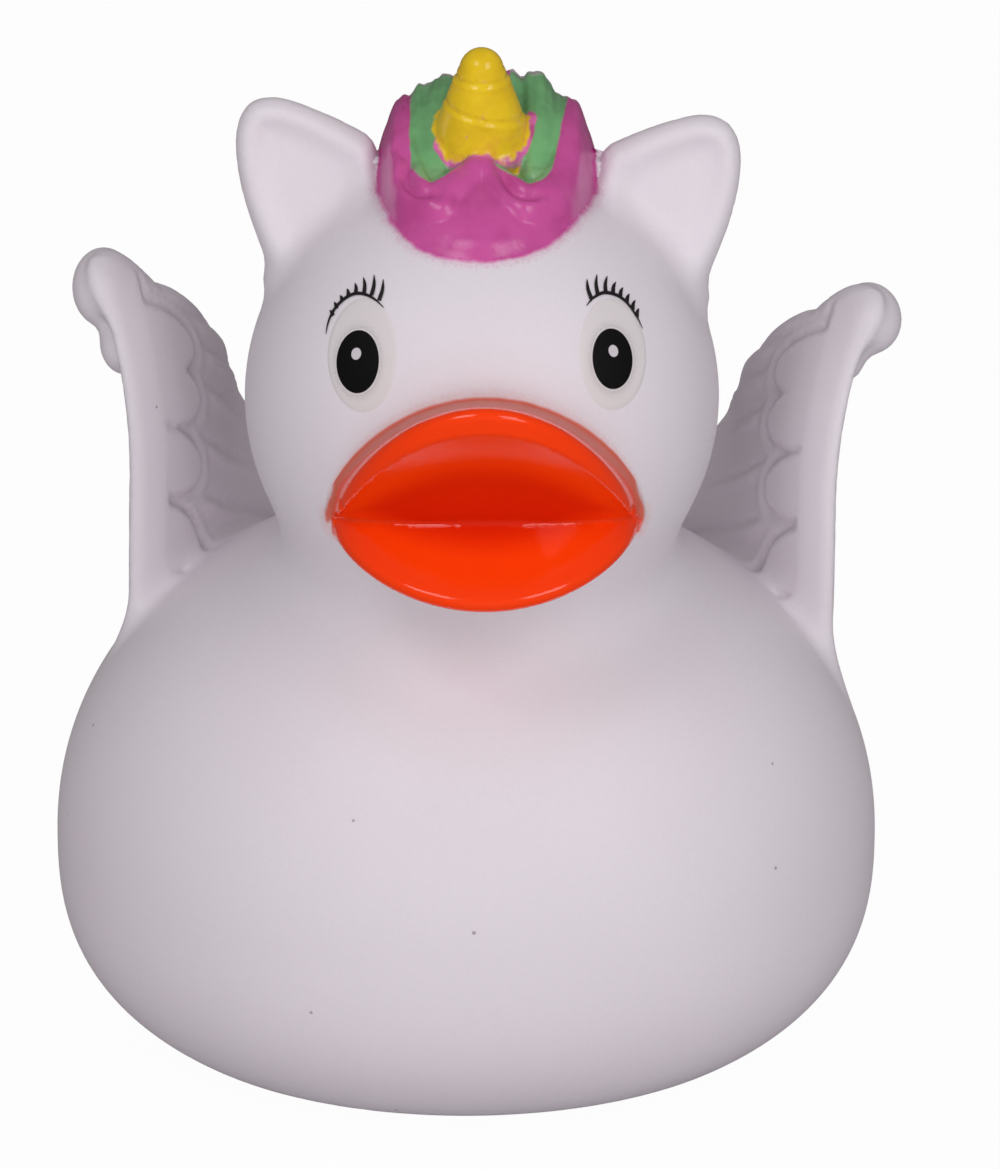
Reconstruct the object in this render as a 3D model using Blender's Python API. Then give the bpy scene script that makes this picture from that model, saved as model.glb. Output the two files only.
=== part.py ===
"""Bath duck with a horn, a mane and two raised wings.

A hollow soft vinyl moulding, open only at the hole in its base, and the squeaker that is pressed into
that hole. Units are metres, +Z is up, the face looks along -Y, and the duck stands on z = 0.
"""

import math

import bmesh
import bpy
from mathutils import Matrix, Vector

MM = 0.001
CLEARANCE = 0.3 * MM
CUT_OVERSHOOT = 1.0 * MM

# Vinyl skin
WALL = 2.3 * MM
NECK_BLEND = 9.0 * MM
SKIN_SIDES = 52
SKIN_RINGS = 30
CAVITY_SIDES = 28
CAVITY_RINGS = 16
TOP_CROWDING = 1.35
SEARCH_STEP = 0.01 * MM

# Body, an egg that is boxier below its widest level. Its lowest point is cut off by the flat base
BODY_X = -1.2 * MM
BODY_Y = -3.0 * MM
BODY_WIDEST_Z = 18.85 * MM
BODY_HALF_WIDTH = 37.6 * MM
BODY_FRONT = 36.2 * MM
BODY_BACK = 39.0 * MM
BODY_RISE = 31.0 * MM
BODY_BELOW_BASE = 3.85 * MM
BODY_DROP = BODY_WIDEST_Z + BODY_BELOW_BASE
BODY_TOP_Z = BODY_WIDEST_Z + BODY_RISE
POWER_ABOVE = 2.1
POWER_BELOW = 2.6

# Head, standing on the body
HEAD_LIFT = 13.35 * MM
HEAD = Vector((0.3 * MM, -13.0 * MM, BODY_TOP_Z + HEAD_LIFT))
HEAD_RADIUS = 21.1 * MM

# The levels between which the centre of the skin's rings moves from the body's to the head's
NECK_BELOW_BODY_TOP = 12.4 * MM
NECK_BELOW_HEAD = 8.4 * MM

# Base
BASE_RECESS_RADIUS = 19.0 * MM
BASE_RECESS_DEPTH = 1.6 * MM

# Tail, from inside the back to its tip, placed from the back of the body at its widest level
TAIL_SEAT = Vector((BODY_X, BODY_Y + BODY_BACK, BODY_WIDEST_Z))
TAIL_ROOT = TAIL_SEAT + Vector((0.0, -20.0, 7.15)) * MM
TAIL_BEND = TAIL_SEAT + Vector((0.0, -3.5, 12.15)) * MM
TAIL_TIP = TAIL_SEAT + Vector((0.0, 5.0, 23.15)) * MM
TAIL_ROOT_HALF_WIDTH = 19.0 * MM
TAIL_ROOT_HALF_THICKNESS = 13.0 * MM
TAIL_TIP_SHARE = 0.13
TAIL_TAPER = 1.6
TAIL_ROUNDING = 0.8
TAIL_LEVELS = 9

# The mould sets the ears and wings a little askew: left side up, tops to the right
ASKEW_RISE = 0.042
ASKEW_LEAN = 0.0155
ASKEW_CENTRE_Z = BODY_TOP_Z - 1.85 * MM

# Ears, each along an axis in the plane of the face, rooted below the surface of the head
EAR_SEAT = Vector((12.5, 1.5, 14.5)).normalized()
EAR_SINK = 1.9 * MM
EAR_ANGLE = math.radians(51.8)
EAR_LENGTH = 13.9 * MM
EAR_HALF_WIDTH = 8.2 * MM
EAR_THICKNESS = 8.0 * MM
EAR_TIP_THICKNESS = 4.2 * MM
EAR_HOLLOW = 2.6 * MM
EAR_TAPER = 1.3
EAR_ROUNDING = 0.62
EAR_TIP_POWER = 6
EAR_LEVELS = 9

# Wings, placed from the top and the side of the body
WING_ROOT_Z = BODY_TOP_Z - 18.85 * MM
WING_HEIGHT = 38.0 * MM
WING_TIP_Z = WING_ROOT_Z + WING_HEIGHT
WING_LEAD_INSET = 7.3 * MM
WING_LEAD_X = BODY_HALF_WIDTH - WING_LEAD_INSET
WING_LEAD_Y = BODY_Y + 1.0 * MM
WING_FLARE = 4.6 * MM
WING_FLARE_START_Z = WING_ROOT_Z + 19.0 * MM
WING_SWEEP = 10.0 * MM
WING_SWEEP_START_Z = WING_ROOT_Z + 8.7 * MM
WING_WRAP_Z = WING_ROOT_Z + 21.0 * MM
WING_LEAN = 0.1
WING_ROLL = 1.2 * MM
WING_ROLL_RUN = 4.0 * MM
# How much the section curves inward, per metre, and how much more where it wraps round the back
WING_CURVE = 2.2
WING_WRAP_CURVE = 7.0
WING_LEAD_THICKNESS = 4.6 * MM
WING_TIP_THICKNESS = 3.4 * MM
WING_TRAIL_THICKNESS = 2.4 * MM
WING_TIP_POWER = 8
WING_TIP_SHARE = 0.2
WING_FEATHERS = 7
WING_SCALLOP = 1.5 * MM
WING_LEAST_CHORD = 1.5 * MM
WING_LEVELS = 29
WING_STATIONS = 9
# The back edge: height above the root and distance behind the middle of the body, both in mm
WING_TRAIL = (
    (0.0, 17.0), (4.0, 22.0), (7.0, 27.0), (10.0, 31.5), (13.0, 33.8), (16.0, 34.0), (19.0, 32.8),
    (23.0, 30.0), (27.0, 26.5), (31.0, 22.0), (34.0, 18.0), (36.5, 15.0), (38.0, 13.0),
)

# The two feather tips that curl out over the leading edge: centre from the edge's root, and radii
WING_CURL_SEAT = Vector((WING_LEAD_X, WING_LEAD_Y, WING_ROOT_Z))
WING_CURLS = (
    (WING_CURL_SEAT + Vector((5.3, 10.2, 34.8)) * MM, Vector((2.5, 3.2, 3.0)) * MM),
    (WING_CURL_SEAT + Vector((2.7, 8.4, 30.3)) * MM, Vector((2.0, 2.8, 2.6)) * MM),
)

# Bill: an almond with a notch, its height and reach set by the rims and the crease
BILL_HALF_WIDTH = 13.4 * MM
BILL_STATIONS = 19
BILL_END_SHARE = 0.995
BILL_CORNER_SINK = 6.6 * MM
BILL_CENTRE = Vector((HEAD.x + 0.3 * MM, HEAD.y - HEAD_RADIUS + BILL_CORNER_SINK, HEAD.z - 7.2 * MM))
BILL_INSIDE_Y = HEAD.y - 7.0 * MM
UPPER_RIM_REACH = 14.5 * MM
UPPER_RIM_RISE = 14.2 * MM
UPPER_POWER = 1.4
UPPER_ROOT_RISE = 12.9 * MM
UPPER_ROOT_POWER = 0.9
CREASE_REACH = 6.0 * MM
CREASE_RISE = 1.8 * MM
LOWER_RIM_REACH = 12.0 * MM
LOWER_RIM_DROP = 4.0 * MM
LOWER_POWER = 1.3
CHIN_DROP = 8.0 * MM
LIP = 1.3 * MM
LIP_END_SHARE = 0.15
# Points round each lip, backward and upward from its rim, in lip thicknesses
UPPER_LIP = ((0.6, 0.0), (0.0, -0.5), (0.35, -1.2))
LOWER_LIP = ((0.6, 0.35), (0.0, 0.0), (0.3, -0.8))

# Mane, a band over the head from the fringe on the forehead to the nape
MANE_FRONT_ANGLE = math.radians(40.0)
MANE_FRINGE_ANGLE = math.radians(14.0)
MANE_CREST_ANGLE = math.radians(-8.0)
MANE_NAPE_ANGLE = math.radians(-30.0)
MANE_BACK_ANGLE = math.radians(-112.0)
MANE_SECTIONS = 19
MANE_ACROSS = 9
MANE_HALF_WIDTH = 10.3 * MM
MANE_NAPE_HALF_WIDTH = 4.0 * MM
MANE_THICKNESS = 6.0 * MM
MANE_NAPE_THICKNESS = 2.4 * MM
MANE_EDGE_THICKNESS = 1.8 * MM
MANE_EDGE_POWER = 4
MANE_CREST_SHARE = 0.12
MANE_TIP_SHARE = 0.14
MANE_SINK = 1.2 * MM

# Horn: three stacked beads on a cone that leans forward
HORN_BASE = HEAD + Vector((0.0, -0.6 * MM, HEAD_RADIUS + 1.5 * MM))
HORN_LEAN = math.radians(18.0)
HORN_LENGTH = 10.4 * MM
HORN_RADIUS = 4.7 * MM
HORN_TIP_RADIUS = 1.9 * MM
HORN_SINK = 5.0 * MM
HORN_SIDES = 24
HORN_GROOVES = (0.33, 0.64)
HORN_BULGE = 0.35 * MM
HORN_BEAD_POWER = 0.6
HORN_TIP_POWER = 3
HORN_STEPS = (
    0.0, 0.06, 0.14, 0.22, 0.29, 0.33, 0.37, 0.44, 0.52,
    0.60, 0.64, 0.68, 0.76, 0.84, 0.91, 0.96, 0.99,
)

# Squeaker, stepped to sit in the hole and behind the skin
HOLE_RADIUS = 8.3 * MM
FLANGE_OVERLAP = 2.7 * MM
FLANGE_THICKNESS = 1.1 * MM
BEAD_OVERLAP = 0.8 * MM
BEAD_THICKNESS = 1.0 * MM
HOUSING_RISE = 6.1 * MM
HOUSING_CHAMFER = 1.0 * MM
HOUSING_WALL = 1.3 * MM
HOUSING_ROOF = 1.2 * MM
ROOF_HOLE_RADIUS = 1.2 * MM
LEDGE_WIDTH = 2.0 * MM
CAP_INSET = 0.5 * MM
CAP_THICKNESS = 2.4 * MM
CAP_HOLE_RADIUS = 1.6 * MM
REED_THICKNESS = 0.3 * MM
REED_WIDTH = 4.0 * MM
REED_END_ROOM = 0.6 * MM
ROUND_SIDES = 40
OVAL_SIDES = 16

VINYL_WHITE = (0.66, 0.62, 0.66, 1.0)
PLASTIC_WHITE = (0.80, 0.80, 0.78, 1.0)
REED_METAL = (0.72, 0.55, 0.28, 1.0)


def clear_scene():
    for old in list(bpy.data.objects):
        bpy.data.objects.remove(old, do_unlink=True)


def make_material(name, colour, roughness, metallic=0.0):
    material = bpy.data.materials.new(name)
    material.use_nodes = True
    shader = material.node_tree.nodes["Principled BSDF"]
    shader.inputs["Base Color"].default_value = colour
    shader.inputs["Roughness"].default_value = roughness
    shader.inputs["Metallic"].default_value = metallic
    return material


def object_from(bm, name):
    bmesh.ops.recalc_face_normals(bm, faces=bm.faces)
    mesh = bpy.data.meshes.new(name)
    bm.to_mesh(mesh)
    bm.free()
    made = bpy.data.objects.new(name, mesh)
    bpy.context.scene.collection.objects.link(made)
    return made


def loft(name, rings):
    """A closed solid through rings of equal count. A ring of one point closes that end to a tip."""
    bm = bmesh.new()
    rows = [[bm.verts.new(point) for point in ring] for ring in rings]
    for lower, upper in zip(rows, rows[1:]):
        count = max(len(lower), len(upper))
        for i in range(count):
            j = (i + 1) % count
            low_side = [lower[i % len(lower)], lower[j % len(lower)]]
            high_side = [upper[j % len(upper)], upper[i % len(upper)]]
            bm.faces.new(list(dict.fromkeys(low_side + high_side)))
    for end in (rows[0], rows[-1]):
        if len(end) > 1:
            bm.faces.new(end)
    return object_from(bm, name)


def level_circle(radius, z):
    turns = [math.tau * i / ROUND_SIDES for i in range(ROUND_SIDES)]
    return [Vector((radius * math.cos(turn), radius * math.sin(turn), z)) for turn in turns]


def disc(name, radius, bottom, top):
    return loft(name, [level_circle(radius, bottom), level_circle(radius, top)])


def turned_ring(name, profile):
    """A solid turned about Z from a closed profile of (radius, z) points, none of them on the axis."""
    bm = bmesh.new()
    rows = [[bm.verts.new(point) for point in level_circle(radius, z)] for radius, z in profile]
    for lower, upper in zip(rows, rows[1:] + rows[:1]):
        for i in range(ROUND_SIDES):
            j = (i + 1) % ROUND_SIDES
            bm.faces.new((lower[i], lower[j], upper[j], upper[i]))
    return object_from(bm, name)


def hide_tool(tool):
    tool.hide_render = True
    tool.hide_set(True)
    tool.display_type = "WIRE"


def combine(target, tool, operation):
    modifier = target.modifiers.new(tool.name, "BOOLEAN")
    modifier.operation = operation
    modifier.solver = "EXACT"
    modifier.object = tool
    hide_tool(tool)


def finish(part, material, sharp_degrees=35.0):
    part.data.materials.append(material)
    part.data.shade_smooth()
    part.data.set_sharp_from_angle(angle=math.radians(sharp_degrees))


def smooth_step(low, high, value):
    share = min(max((value - low) / (high - low), 0.0), 1.0)
    return share * share * (3.0 - 2.0 * share)


def smooth_min(a, b, blend):
    near = max(blend - abs(a - b), 0.0) / blend
    return min(a, b) - near * near * blend / 4.0


def rounded(share, power):
    """From 1 at share 0 down to 0 at share 1, like a quarter of a superellipse."""
    return math.sqrt(max(1.0 - abs(share) ** power, 0.0))


def between(table, value):
    """The second number of each pair in table, read at value along a straight line between pairs."""
    for (low, first), (high, second) in zip(table, table[1:]):
        if value <= high:
            return first + (second - first) * max(value - low, 0.0) / (high - low)
    return table[-1][1]


def body_gap(point):
    """About how far point lies outside the body, negative inside it."""
    across = (point.x - BODY_X) / BODY_HALF_WIDTH
    deep = (point.y - BODY_Y) / (BODY_FRONT if point.y < BODY_Y else BODY_BACK)
    high = point.z - BODY_WIDEST_Z
    power = POWER_ABOVE if high > 0.0 else POWER_BELOW
    high = abs(high) / (BODY_RISE if high > 0.0 else BODY_DROP)
    return ((math.hypot(across, deep) ** power + high**power) ** (1.0 / power) - 1.0) * BODY_RISE


def skin_gap(point):
    """About how far point lies outside the joined body and head."""
    return smooth_min(body_gap(point), (point - HEAD).length - HEAD_RADIUS, NECK_BLEND)


def skin_axis(z):
    share = smooth_step(BODY_TOP_Z - NECK_BELOW_BODY_TOP, HEAD.z - NECK_BELOW_HEAD, z)
    return Vector((BODY_X, BODY_Y, z)).lerp(Vector((HEAD.x, HEAD.y, z)), share)


def skin_ring(z, inset, sides):
    """One level of the skin: on each side, the place where the skin lies inset outside."""
    axis = skin_axis(z)
    ring = []
    for i in range(sides):
        turn = math.tau * i / sides
        way = Vector((math.cos(turn), math.sin(turn), 0.0))
        near, far = 0.0, BODY_HALF_WIDTH + BODY_BACK
        while far - near > SEARCH_STEP:
            middle = (near + far) / 2.0
            if skin_gap(axis + way * middle) < -inset:
                near = middle
            else:
                far = middle
        ring.append(axis + way * near)
    return ring


def skin_solid(name, low, inset, sides, levels):
    """The body and head as one solid, inset from the outer skin, from the level low up."""
    top = HEAD.z + HEAD_RADIUS - inset
    rings = []
    for i in range(levels):
        share = 1.0 - (1.0 - i / levels) ** TOP_CROWDING
        rings.append(skin_ring(low + (top - low) * share, inset, sides))
    rings.append([Vector((HEAD.x, HEAD.y, top))])
    return loft(name, rings)


def make_tail():
    """The tail: flat ovals that shrink along a curve and turn up at the tip."""
    rings = []
    for i in range(TAIL_LEVELS + 1):
        share = i / TAIL_LEVELS
        centre = TAIL_ROOT.lerp(TAIL_BEND, share).lerp(TAIL_BEND.lerp(TAIL_TIP, share), share)
        way = (TAIL_BEND - TAIL_ROOT).lerp(TAIL_TIP - TAIL_BEND, share).normalized()
        size = TAIL_TIP_SHARE + (1.0 - TAIL_TIP_SHARE) * (1.0 - share**TAIL_TAPER) ** TAIL_ROUNDING
        lift = way.cross(Vector((1.0, 0.0, 0.0)))
        ring = []
        for k in range(OVAL_SIDES):
            turn = math.tau * k / OVAL_SIDES
            side = Vector((math.cos(turn) * TAIL_ROOT_HALF_WIDTH * size, 0.0, 0.0))
            ring.append(centre + side + lift * (math.sin(turn) * TAIL_ROOT_HALF_THICKNESS * size))
        rings.append(ring)
    return loft("tail_form", rings)


def askew(point, side):
    """A point given right of the head's middle, moved to its own side and set askew as the mould does."""
    x = side * point.x
    lean = ASKEW_LEAN * (point.z - ASKEW_CENTRE_Z)
    return Vector((HEAD.x + x + lean, point.y, point.z - ASKEW_RISE * x))


def pair(name, rings):
    """The right-hand form from its rings, and the left-hand one mirrored about the head's middle."""
    forms = []
    for side, word in ((1.0, "right"), (-1.0, "left")):
        moved = [[askew(point, side) for point in ring] for ring in rings]
        forms.append(loft(f"{name}_{word}_form", moved))
    return forms


def ear_rings():
    """Crescent sections along the ear, hollow on the front, rounded off at the tip."""
    along = Vector((math.cos(EAR_ANGLE), 0.0, math.sin(EAR_ANGLE)))
    across = Vector((-along.z, 0.0, along.x))
    start = Vector((0.0, HEAD.y, HEAD.z)) + EAR_SEAT * (HEAD_RADIUS - EAR_SINK)
    rings = []
    for i in range(EAR_LEVELS):
        share = math.sin(0.5 * math.pi * i / EAR_LEVELS)
        width = EAR_HALF_WIDTH * (1.0 - share**EAR_TAPER) ** EAR_ROUNDING
        thick = EAR_THICKNESS + (EAR_TIP_THICKNESS - EAR_THICKNESS) * share
        thick *= rounded(share, EAR_TIP_POWER)
        hollow = EAR_HOLLOW * math.sqrt(math.sin(math.pi * share))
        ring = []
        for k in range(OVAL_SIDES):
            turn = math.tau * k / OVAL_SIDES
            side, depth = math.cos(turn), 0.5 * math.sin(turn) * thick
            if depth < 0.0:
                depth += hollow * (1.0 - side * side)
            place = start + along * (share * EAR_LENGTH) + across * (side * width)
            ring.append(place + Vector((0.0, depth, 0.0)))
        rings.append(ring)
    rings.append([start + along * EAR_LENGTH])
    return rings


def wing_lead(z):
    """The leading edge at the level z: outward, then back."""
    flare = max(z - WING_FLARE_START_Z, 0.0) / (WING_TIP_Z - WING_FLARE_START_Z)
    sweep = max(z - WING_SWEEP_START_Z, 0.0) / (WING_TIP_Z - WING_SWEEP_START_Z)
    return WING_LEAD_X + WING_FLARE * flare**2, WING_LEAD_Y + WING_SWEEP * sweep**2


def wing_inset(run, z):
    """How far the wing lies inward of its leading edge, run behind it. The root wraps round the back."""
    roll = WING_ROLL * (1.0 - math.exp(-run / WING_ROLL_RUN))
    wrap = 1.0 - smooth_step(WING_SWEEP_START_Z, WING_WRAP_Z, z)
    return WING_LEAN * run + roll + (WING_CURVE + WING_WRAP_CURVE * wrap) * run * run


def wing_section(z, share):
    """The outer and inner line of one level of the wing, each from the leading edge back."""
    lead_x, lead_y = wing_lead(z)
    scallop = abs(math.sin(math.pi * WING_FEATHERS * (z - WING_ROOT_Z) / WING_HEIGHT))
    trail_y = BODY_Y + between(WING_TRAIL, (z - WING_ROOT_Z) / MM) * MM - WING_SCALLOP * (1.0 - scallop)
    chord = max(trail_y - lead_y, WING_LEAST_CHORD)
    crown = max(rounded(share, WING_TIP_POWER), WING_TIP_SHARE)
    front_thick = WING_LEAD_THICKNESS + (WING_TIP_THICKNESS - WING_LEAD_THICKNESS) * share**2
    outer, inner = [], []
    for k in range(WING_STATIONS):
        run = chord * (1.0 - math.cos(math.pi * k / (WING_STATIONS - 1))) / 2.0
        thick = front_thick + (WING_TRAIL_THICKNESS - front_thick) * run / chord
        front = max(1.0 - 2.0 * run / front_thick, 0.0)
        back = max(1.0 - 2.0 * (chord - run) / WING_TRAIL_THICKNESS, 0.0)
        half = 0.5 * thick * crown * rounded(front, 2) * rounded(back, 2)
        x = lead_x - wing_inset(run, z)
        outer.append(Vector((x + half, lead_y + run, z)))
        inner.append(Vector((x - half, lead_y + run, z)))
    return outer, inner


def wing_rings():
    """Level sections: round and thick in front, thin at the back, where feather tips scallop the edge."""
    rings = []
    for i in range(WING_LEVELS):
        share = i / (WING_LEVELS - 1)
        z = WING_ROOT_Z + WING_HEIGHT * math.sin(0.5 * math.pi * share)
        outer, inner = wing_section(z, share)
        rings.append(outer + inner[-2:0:-1])
    return rings


def wing_curls():
    """The feather tips that curl out near the top of each wing, as rounded lobes."""
    forms = []
    for side, word in ((1.0, "right"), (-1.0, "left")):
        for number, (centre, radii) in enumerate(WING_CURLS):
            bm = bmesh.new()
            bmesh.ops.create_uvsphere(bm, u_segments=12, v_segments=8, radius=1.0)
            bmesh.ops.scale(bm, vec=radii, verts=bm.verts)
            bmesh.ops.translate(bm, vec=askew(centre, side), verts=bm.verts)
            forms.append(object_from(bm, f"wing_curl_{word}_{number}_form"))
    return forms


def bill_section(share):
    """The bill's outline in the plane x = share of its half width, from the top root round to the chin."""
    bow = math.sqrt(1.0 - share * share)
    corner = BILL_CENTRE + Vector((share * BILL_HALF_WIDTH, 0.0, 0.0))
    upper = corner + Vector((0.0, -UPPER_RIM_REACH * bow, UPPER_RIM_RISE * bow**UPPER_POWER))
    crease = corner + Vector((0.0, -CREASE_REACH * bow, CREASE_RISE * bow))
    lower = corner + Vector((0.0, -LOWER_RIM_REACH * bow, -LOWER_RIM_DROP * bow**LOWER_POWER))
    root_z = corner.z + UPPER_ROOT_RISE * bow**UPPER_ROOT_POWER
    lip = LIP * (LIP_END_SHARE + (1.0 - LIP_END_SHARE) * bow)
    chin_z = corner.z - CHIN_DROP * bow - lip
    depth_squared = HEAD_RADIUS**2 - (corner.x - HEAD.x) ** 2 - (root_z - HEAD.z) ** 2
    face_y = HEAD.y - math.sqrt(max(depth_squared, 0.0))
    outline = [Vector((corner.x, BILL_INSIDE_Y, root_z)), Vector((corner.x, face_y, root_z))]
    outline += [upper + Vector((0.0, back * lip, up * lip)) for back, up in UPPER_LIP]
    outline.append(crease)
    outline += [lower + Vector((0.0, back * lip, up * lip)) for back, up in LOWER_LIP]
    outline.append(Vector((corner.x, BILL_CENTRE.y, chin_z)))
    outline.append(Vector((corner.x, BILL_INSIDE_Y, chin_z)))
    return outline


def make_bill():
    """The open bill: sections from one corner of the mouth to the other."""
    stations = [math.sin(math.pi * (i / (BILL_STATIONS - 1) - 0.5)) for i in range(BILL_STATIONS)]
    return loft("bill_form", [bill_section(share * BILL_END_SHARE) for share in stations])


def mane_size(angle):
    """Half width and thickness of the mane at an angle from straight up, forward positive."""
    fringe = max(angle - MANE_FRINGE_ANGLE, 0.0) / (MANE_FRONT_ANGLE - MANE_FRINGE_ANGLE)
    nape = smooth_step(-MANE_NAPE_ANGLE, -MANE_BACK_ANGLE, -angle)
    width = MANE_HALF_WIDTH * max(rounded(fringe, 2), MANE_TIP_SHARE)
    width += (MANE_NAPE_HALF_WIDTH - MANE_HALF_WIDTH) * nape
    crest = smooth_step(-MANE_FRONT_ANGLE, -MANE_CREST_ANGLE, -angle) ** 2
    thick = MANE_EDGE_THICKNESS + (MANE_THICKNESS - MANE_EDGE_THICKNESS) * crest
    return width, thick + (MANE_NAPE_THICKNESS - MANE_THICKNESS) * nape


def make_mane():
    """Sections across the head: a raised crest on each side and thin rounded edges."""
    rings = []
    for i in range(MANE_SECTIONS):
        share = (1.0 - math.cos(math.pi * i / (MANE_SECTIONS - 1))) / 2.0
        angle = MANE_FRONT_ANGLE + (MANE_BACK_ANGLE - MANE_FRONT_ANGLE) * share
        width, thick = mane_size(angle)
        way = Vector((0.0, -math.sin(angle), math.cos(angle)))
        outer, inner = [], []
        for k in range(MANE_ACROSS):
            side = math.sin(math.pi * (k / (MANE_ACROSS - 1) - 0.5))
            around = side * width
            level = math.sqrt(HEAD_RADIUS**2 - around * around)
            crest = 1.0 + MANE_CREST_SHARE * math.sin(math.pi * abs(side))
            rise = thick * crest * rounded(side, MANE_EDGE_POWER)
            foot = Vector((HEAD.x + around, HEAD.y, HEAD.z))
            outer.append(foot + way * (level + rise))
            inner.append(foot + way * (level - MANE_SINK))
        rings.append(outer + inner[::-1])
    return loft("mane_form", rings)


def horn_radius(share):
    """The horn's radius at a share of its length: beads that bulge between grooves, and a round tip."""
    cone = HORN_RADIUS + (HORN_TIP_RADIUS - HORN_RADIUS) * share
    edges = (0.0, *HORN_GROOVES, 1.0)
    start, end = next((a, b) for a, b in zip(edges, edges[1:]) if share <= b)
    inside = (share - start) / (end - start)
    if end < 1.0:
        return cone + HORN_BULGE * (2.0 * math.sin(math.pi * inside) ** HORN_BEAD_POWER - 1.0)
    return cone * rounded(inside, HORN_TIP_POWER) - HORN_BULGE * (1.0 - inside) ** 6


def make_horn():
    """The horn as rings along its leaning axis."""
    lean = Matrix.Rotation(HORN_LEAN, 4, "X")
    sizes = [(-HORN_SINK, HORN_RADIUS)]
    sizes += [(share * HORN_LENGTH, horn_radius(share)) for share in HORN_STEPS]
    rings = []
    for height, size in sizes:
        ring = []
        for k in range(HORN_SIDES):
            turn = math.tau * k / HORN_SIDES
            ring.append(HORN_BASE + lean @ Vector((math.cos(turn) * size, math.sin(turn) * size, height)))
        rings.append(ring)
    rings.append([HORN_BASE + lean @ Vector((0.0, 0.0, HORN_LENGTH))])
    return loft("horn_form", rings)


def make_shell(vinyl):
    """The one-piece moulding: every form joined, then hollowed from the hole in the base."""
    shell = skin_solid("duck_shell", 0.0, 0.0, SKIN_SIDES, SKIN_RINGS)
    forms = [make_tail()]
    forms += pair("wing", wing_rings())
    forms += wing_curls()
    forms += pair("ear", ear_rings())
    forms += [make_bill(), make_mane(), make_horn()]
    for form in forms:
        combine(shell, form, "UNION")
    floor = skin_floor_z()
    combine(shell, skin_solid("cavity", floor, WALL, CAVITY_SIDES, CAVITY_RINGS), "DIFFERENCE")
    combine(shell, disc("base_recess", BASE_RECESS_RADIUS, -CUT_OVERSHOOT, BASE_RECESS_DEPTH), "DIFFERENCE")
    low, high = BASE_RECESS_DEPTH - CUT_OVERSHOOT, floor + CUT_OVERSHOOT
    combine(shell, disc("squeaker_hole", HOLE_RADIUS, low, high), "DIFFERENCE")
    finish(shell, vinyl)


def skin_floor_z():
    """The inner face of the skin above the recess in the base."""
    return BASE_RECESS_DEPTH + WALL


def flange_top_z():
    return BASE_RECESS_DEPTH - CLEARANCE


def bore_radius():
    return HOLE_RADIUS - CLEARANCE - HOUSING_WALL


def cap_bottom_z():
    return flange_top_z() - FLANGE_THICKNESS + CAP_INSET


def reed_bottom_z():
    return cap_bottom_z() + CAP_THICKNESS + CLEARANCE


def ledge_z():
    return reed_bottom_z() + REED_THICKNESS + CLEARANCE


def make_housing(plastic):
    """A stepped cup: flange under the base, barrel through the hole, snap bead above the skin."""
    barrel = HOLE_RADIUS - CLEARANCE
    bead = HOLE_RADIUS + BEAD_OVERLAP
    bead_z = skin_floor_z() + CLEARANCE
    bore = bore_radius()
    top = skin_floor_z() + HOUSING_RISE
    bottom = flange_top_z() - FLANGE_THICKNESS
    profile = [
        (ROOF_HOLE_RADIUS, top),
        (barrel - HOUSING_CHAMFER, top),
        (barrel, top - HOUSING_CHAMFER),
        (barrel, bead_z + 2.0 * BEAD_THICKNESS),
        (bead, bead_z + BEAD_THICKNESS),
        (bead, bead_z),
        (barrel, bead_z),
        (barrel, flange_top_z()),
        (HOLE_RADIUS + FLANGE_OVERLAP, flange_top_z()),
        (HOLE_RADIUS + FLANGE_OVERLAP, bottom),
        (bore, bottom),
        (bore, ledge_z()),
        (bore - LEDGE_WIDTH, ledge_z()),
        (bore - LEDGE_WIDTH, top - HOUSING_ROOF),
        (ROOF_HOLE_RADIUS, top - HOUSING_ROOF),
    ]
    finish(turned_ring("squeaker_housing", profile), plastic)


def make_cap(plastic):
    """The disc that closes the bottom of the housing, with the blow hole through it."""
    radius = bore_radius() - CLEARANCE
    bottom = cap_bottom_z()
    top = bottom + CAP_THICKNESS
    profile = [(CAP_HOLE_RADIUS, bottom), (radius, bottom), (radius, top), (CAP_HOLE_RADIUS, top)]
    finish(turned_ring("squeaker_cap", profile), plastic)


def make_reed(metal):
    """A thin strip across the housing, between the cap and the ledge."""
    bm = bmesh.new()
    bmesh.ops.create_cube(bm, size=1.0)
    reach = bore_radius() - REED_END_ROOM
    length = 2.0 * math.sqrt(reach**2 - (0.5 * REED_WIDTH) ** 2)
    bmesh.ops.scale(bm, vec=(length, REED_WIDTH, REED_THICKNESS), verts=bm.verts)
    part = object_from(bm, "squeaker_reed")
    part.location.z = reed_bottom_z() + 0.5 * REED_THICKNESS
    finish(part, metal)


def main():
    clear_scene()
    vinyl = make_material("vinyl_white", VINYL_WHITE, 0.45)
    plastic = make_material("squeaker_plastic", PLASTIC_WHITE, 0.35)
    metal = make_material("reed_metal", REED_METAL, 0.3, 1.0)
    make_shell(vinyl)
    make_housing(plastic)
    make_reed(metal)
    make_cap(plastic)


main()
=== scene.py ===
"""Bath duck with a horn, a mane and two raised wings, as it is finished and painted.

The moulded skin is one smooth surface, found from a formula for each form and refined where the
detail is fine. The paint follows distances measured on that surface. The forms are measured in
millimetres. The panel's sizes, the stage and the finished pieces are in metres.
"""

import math

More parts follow.
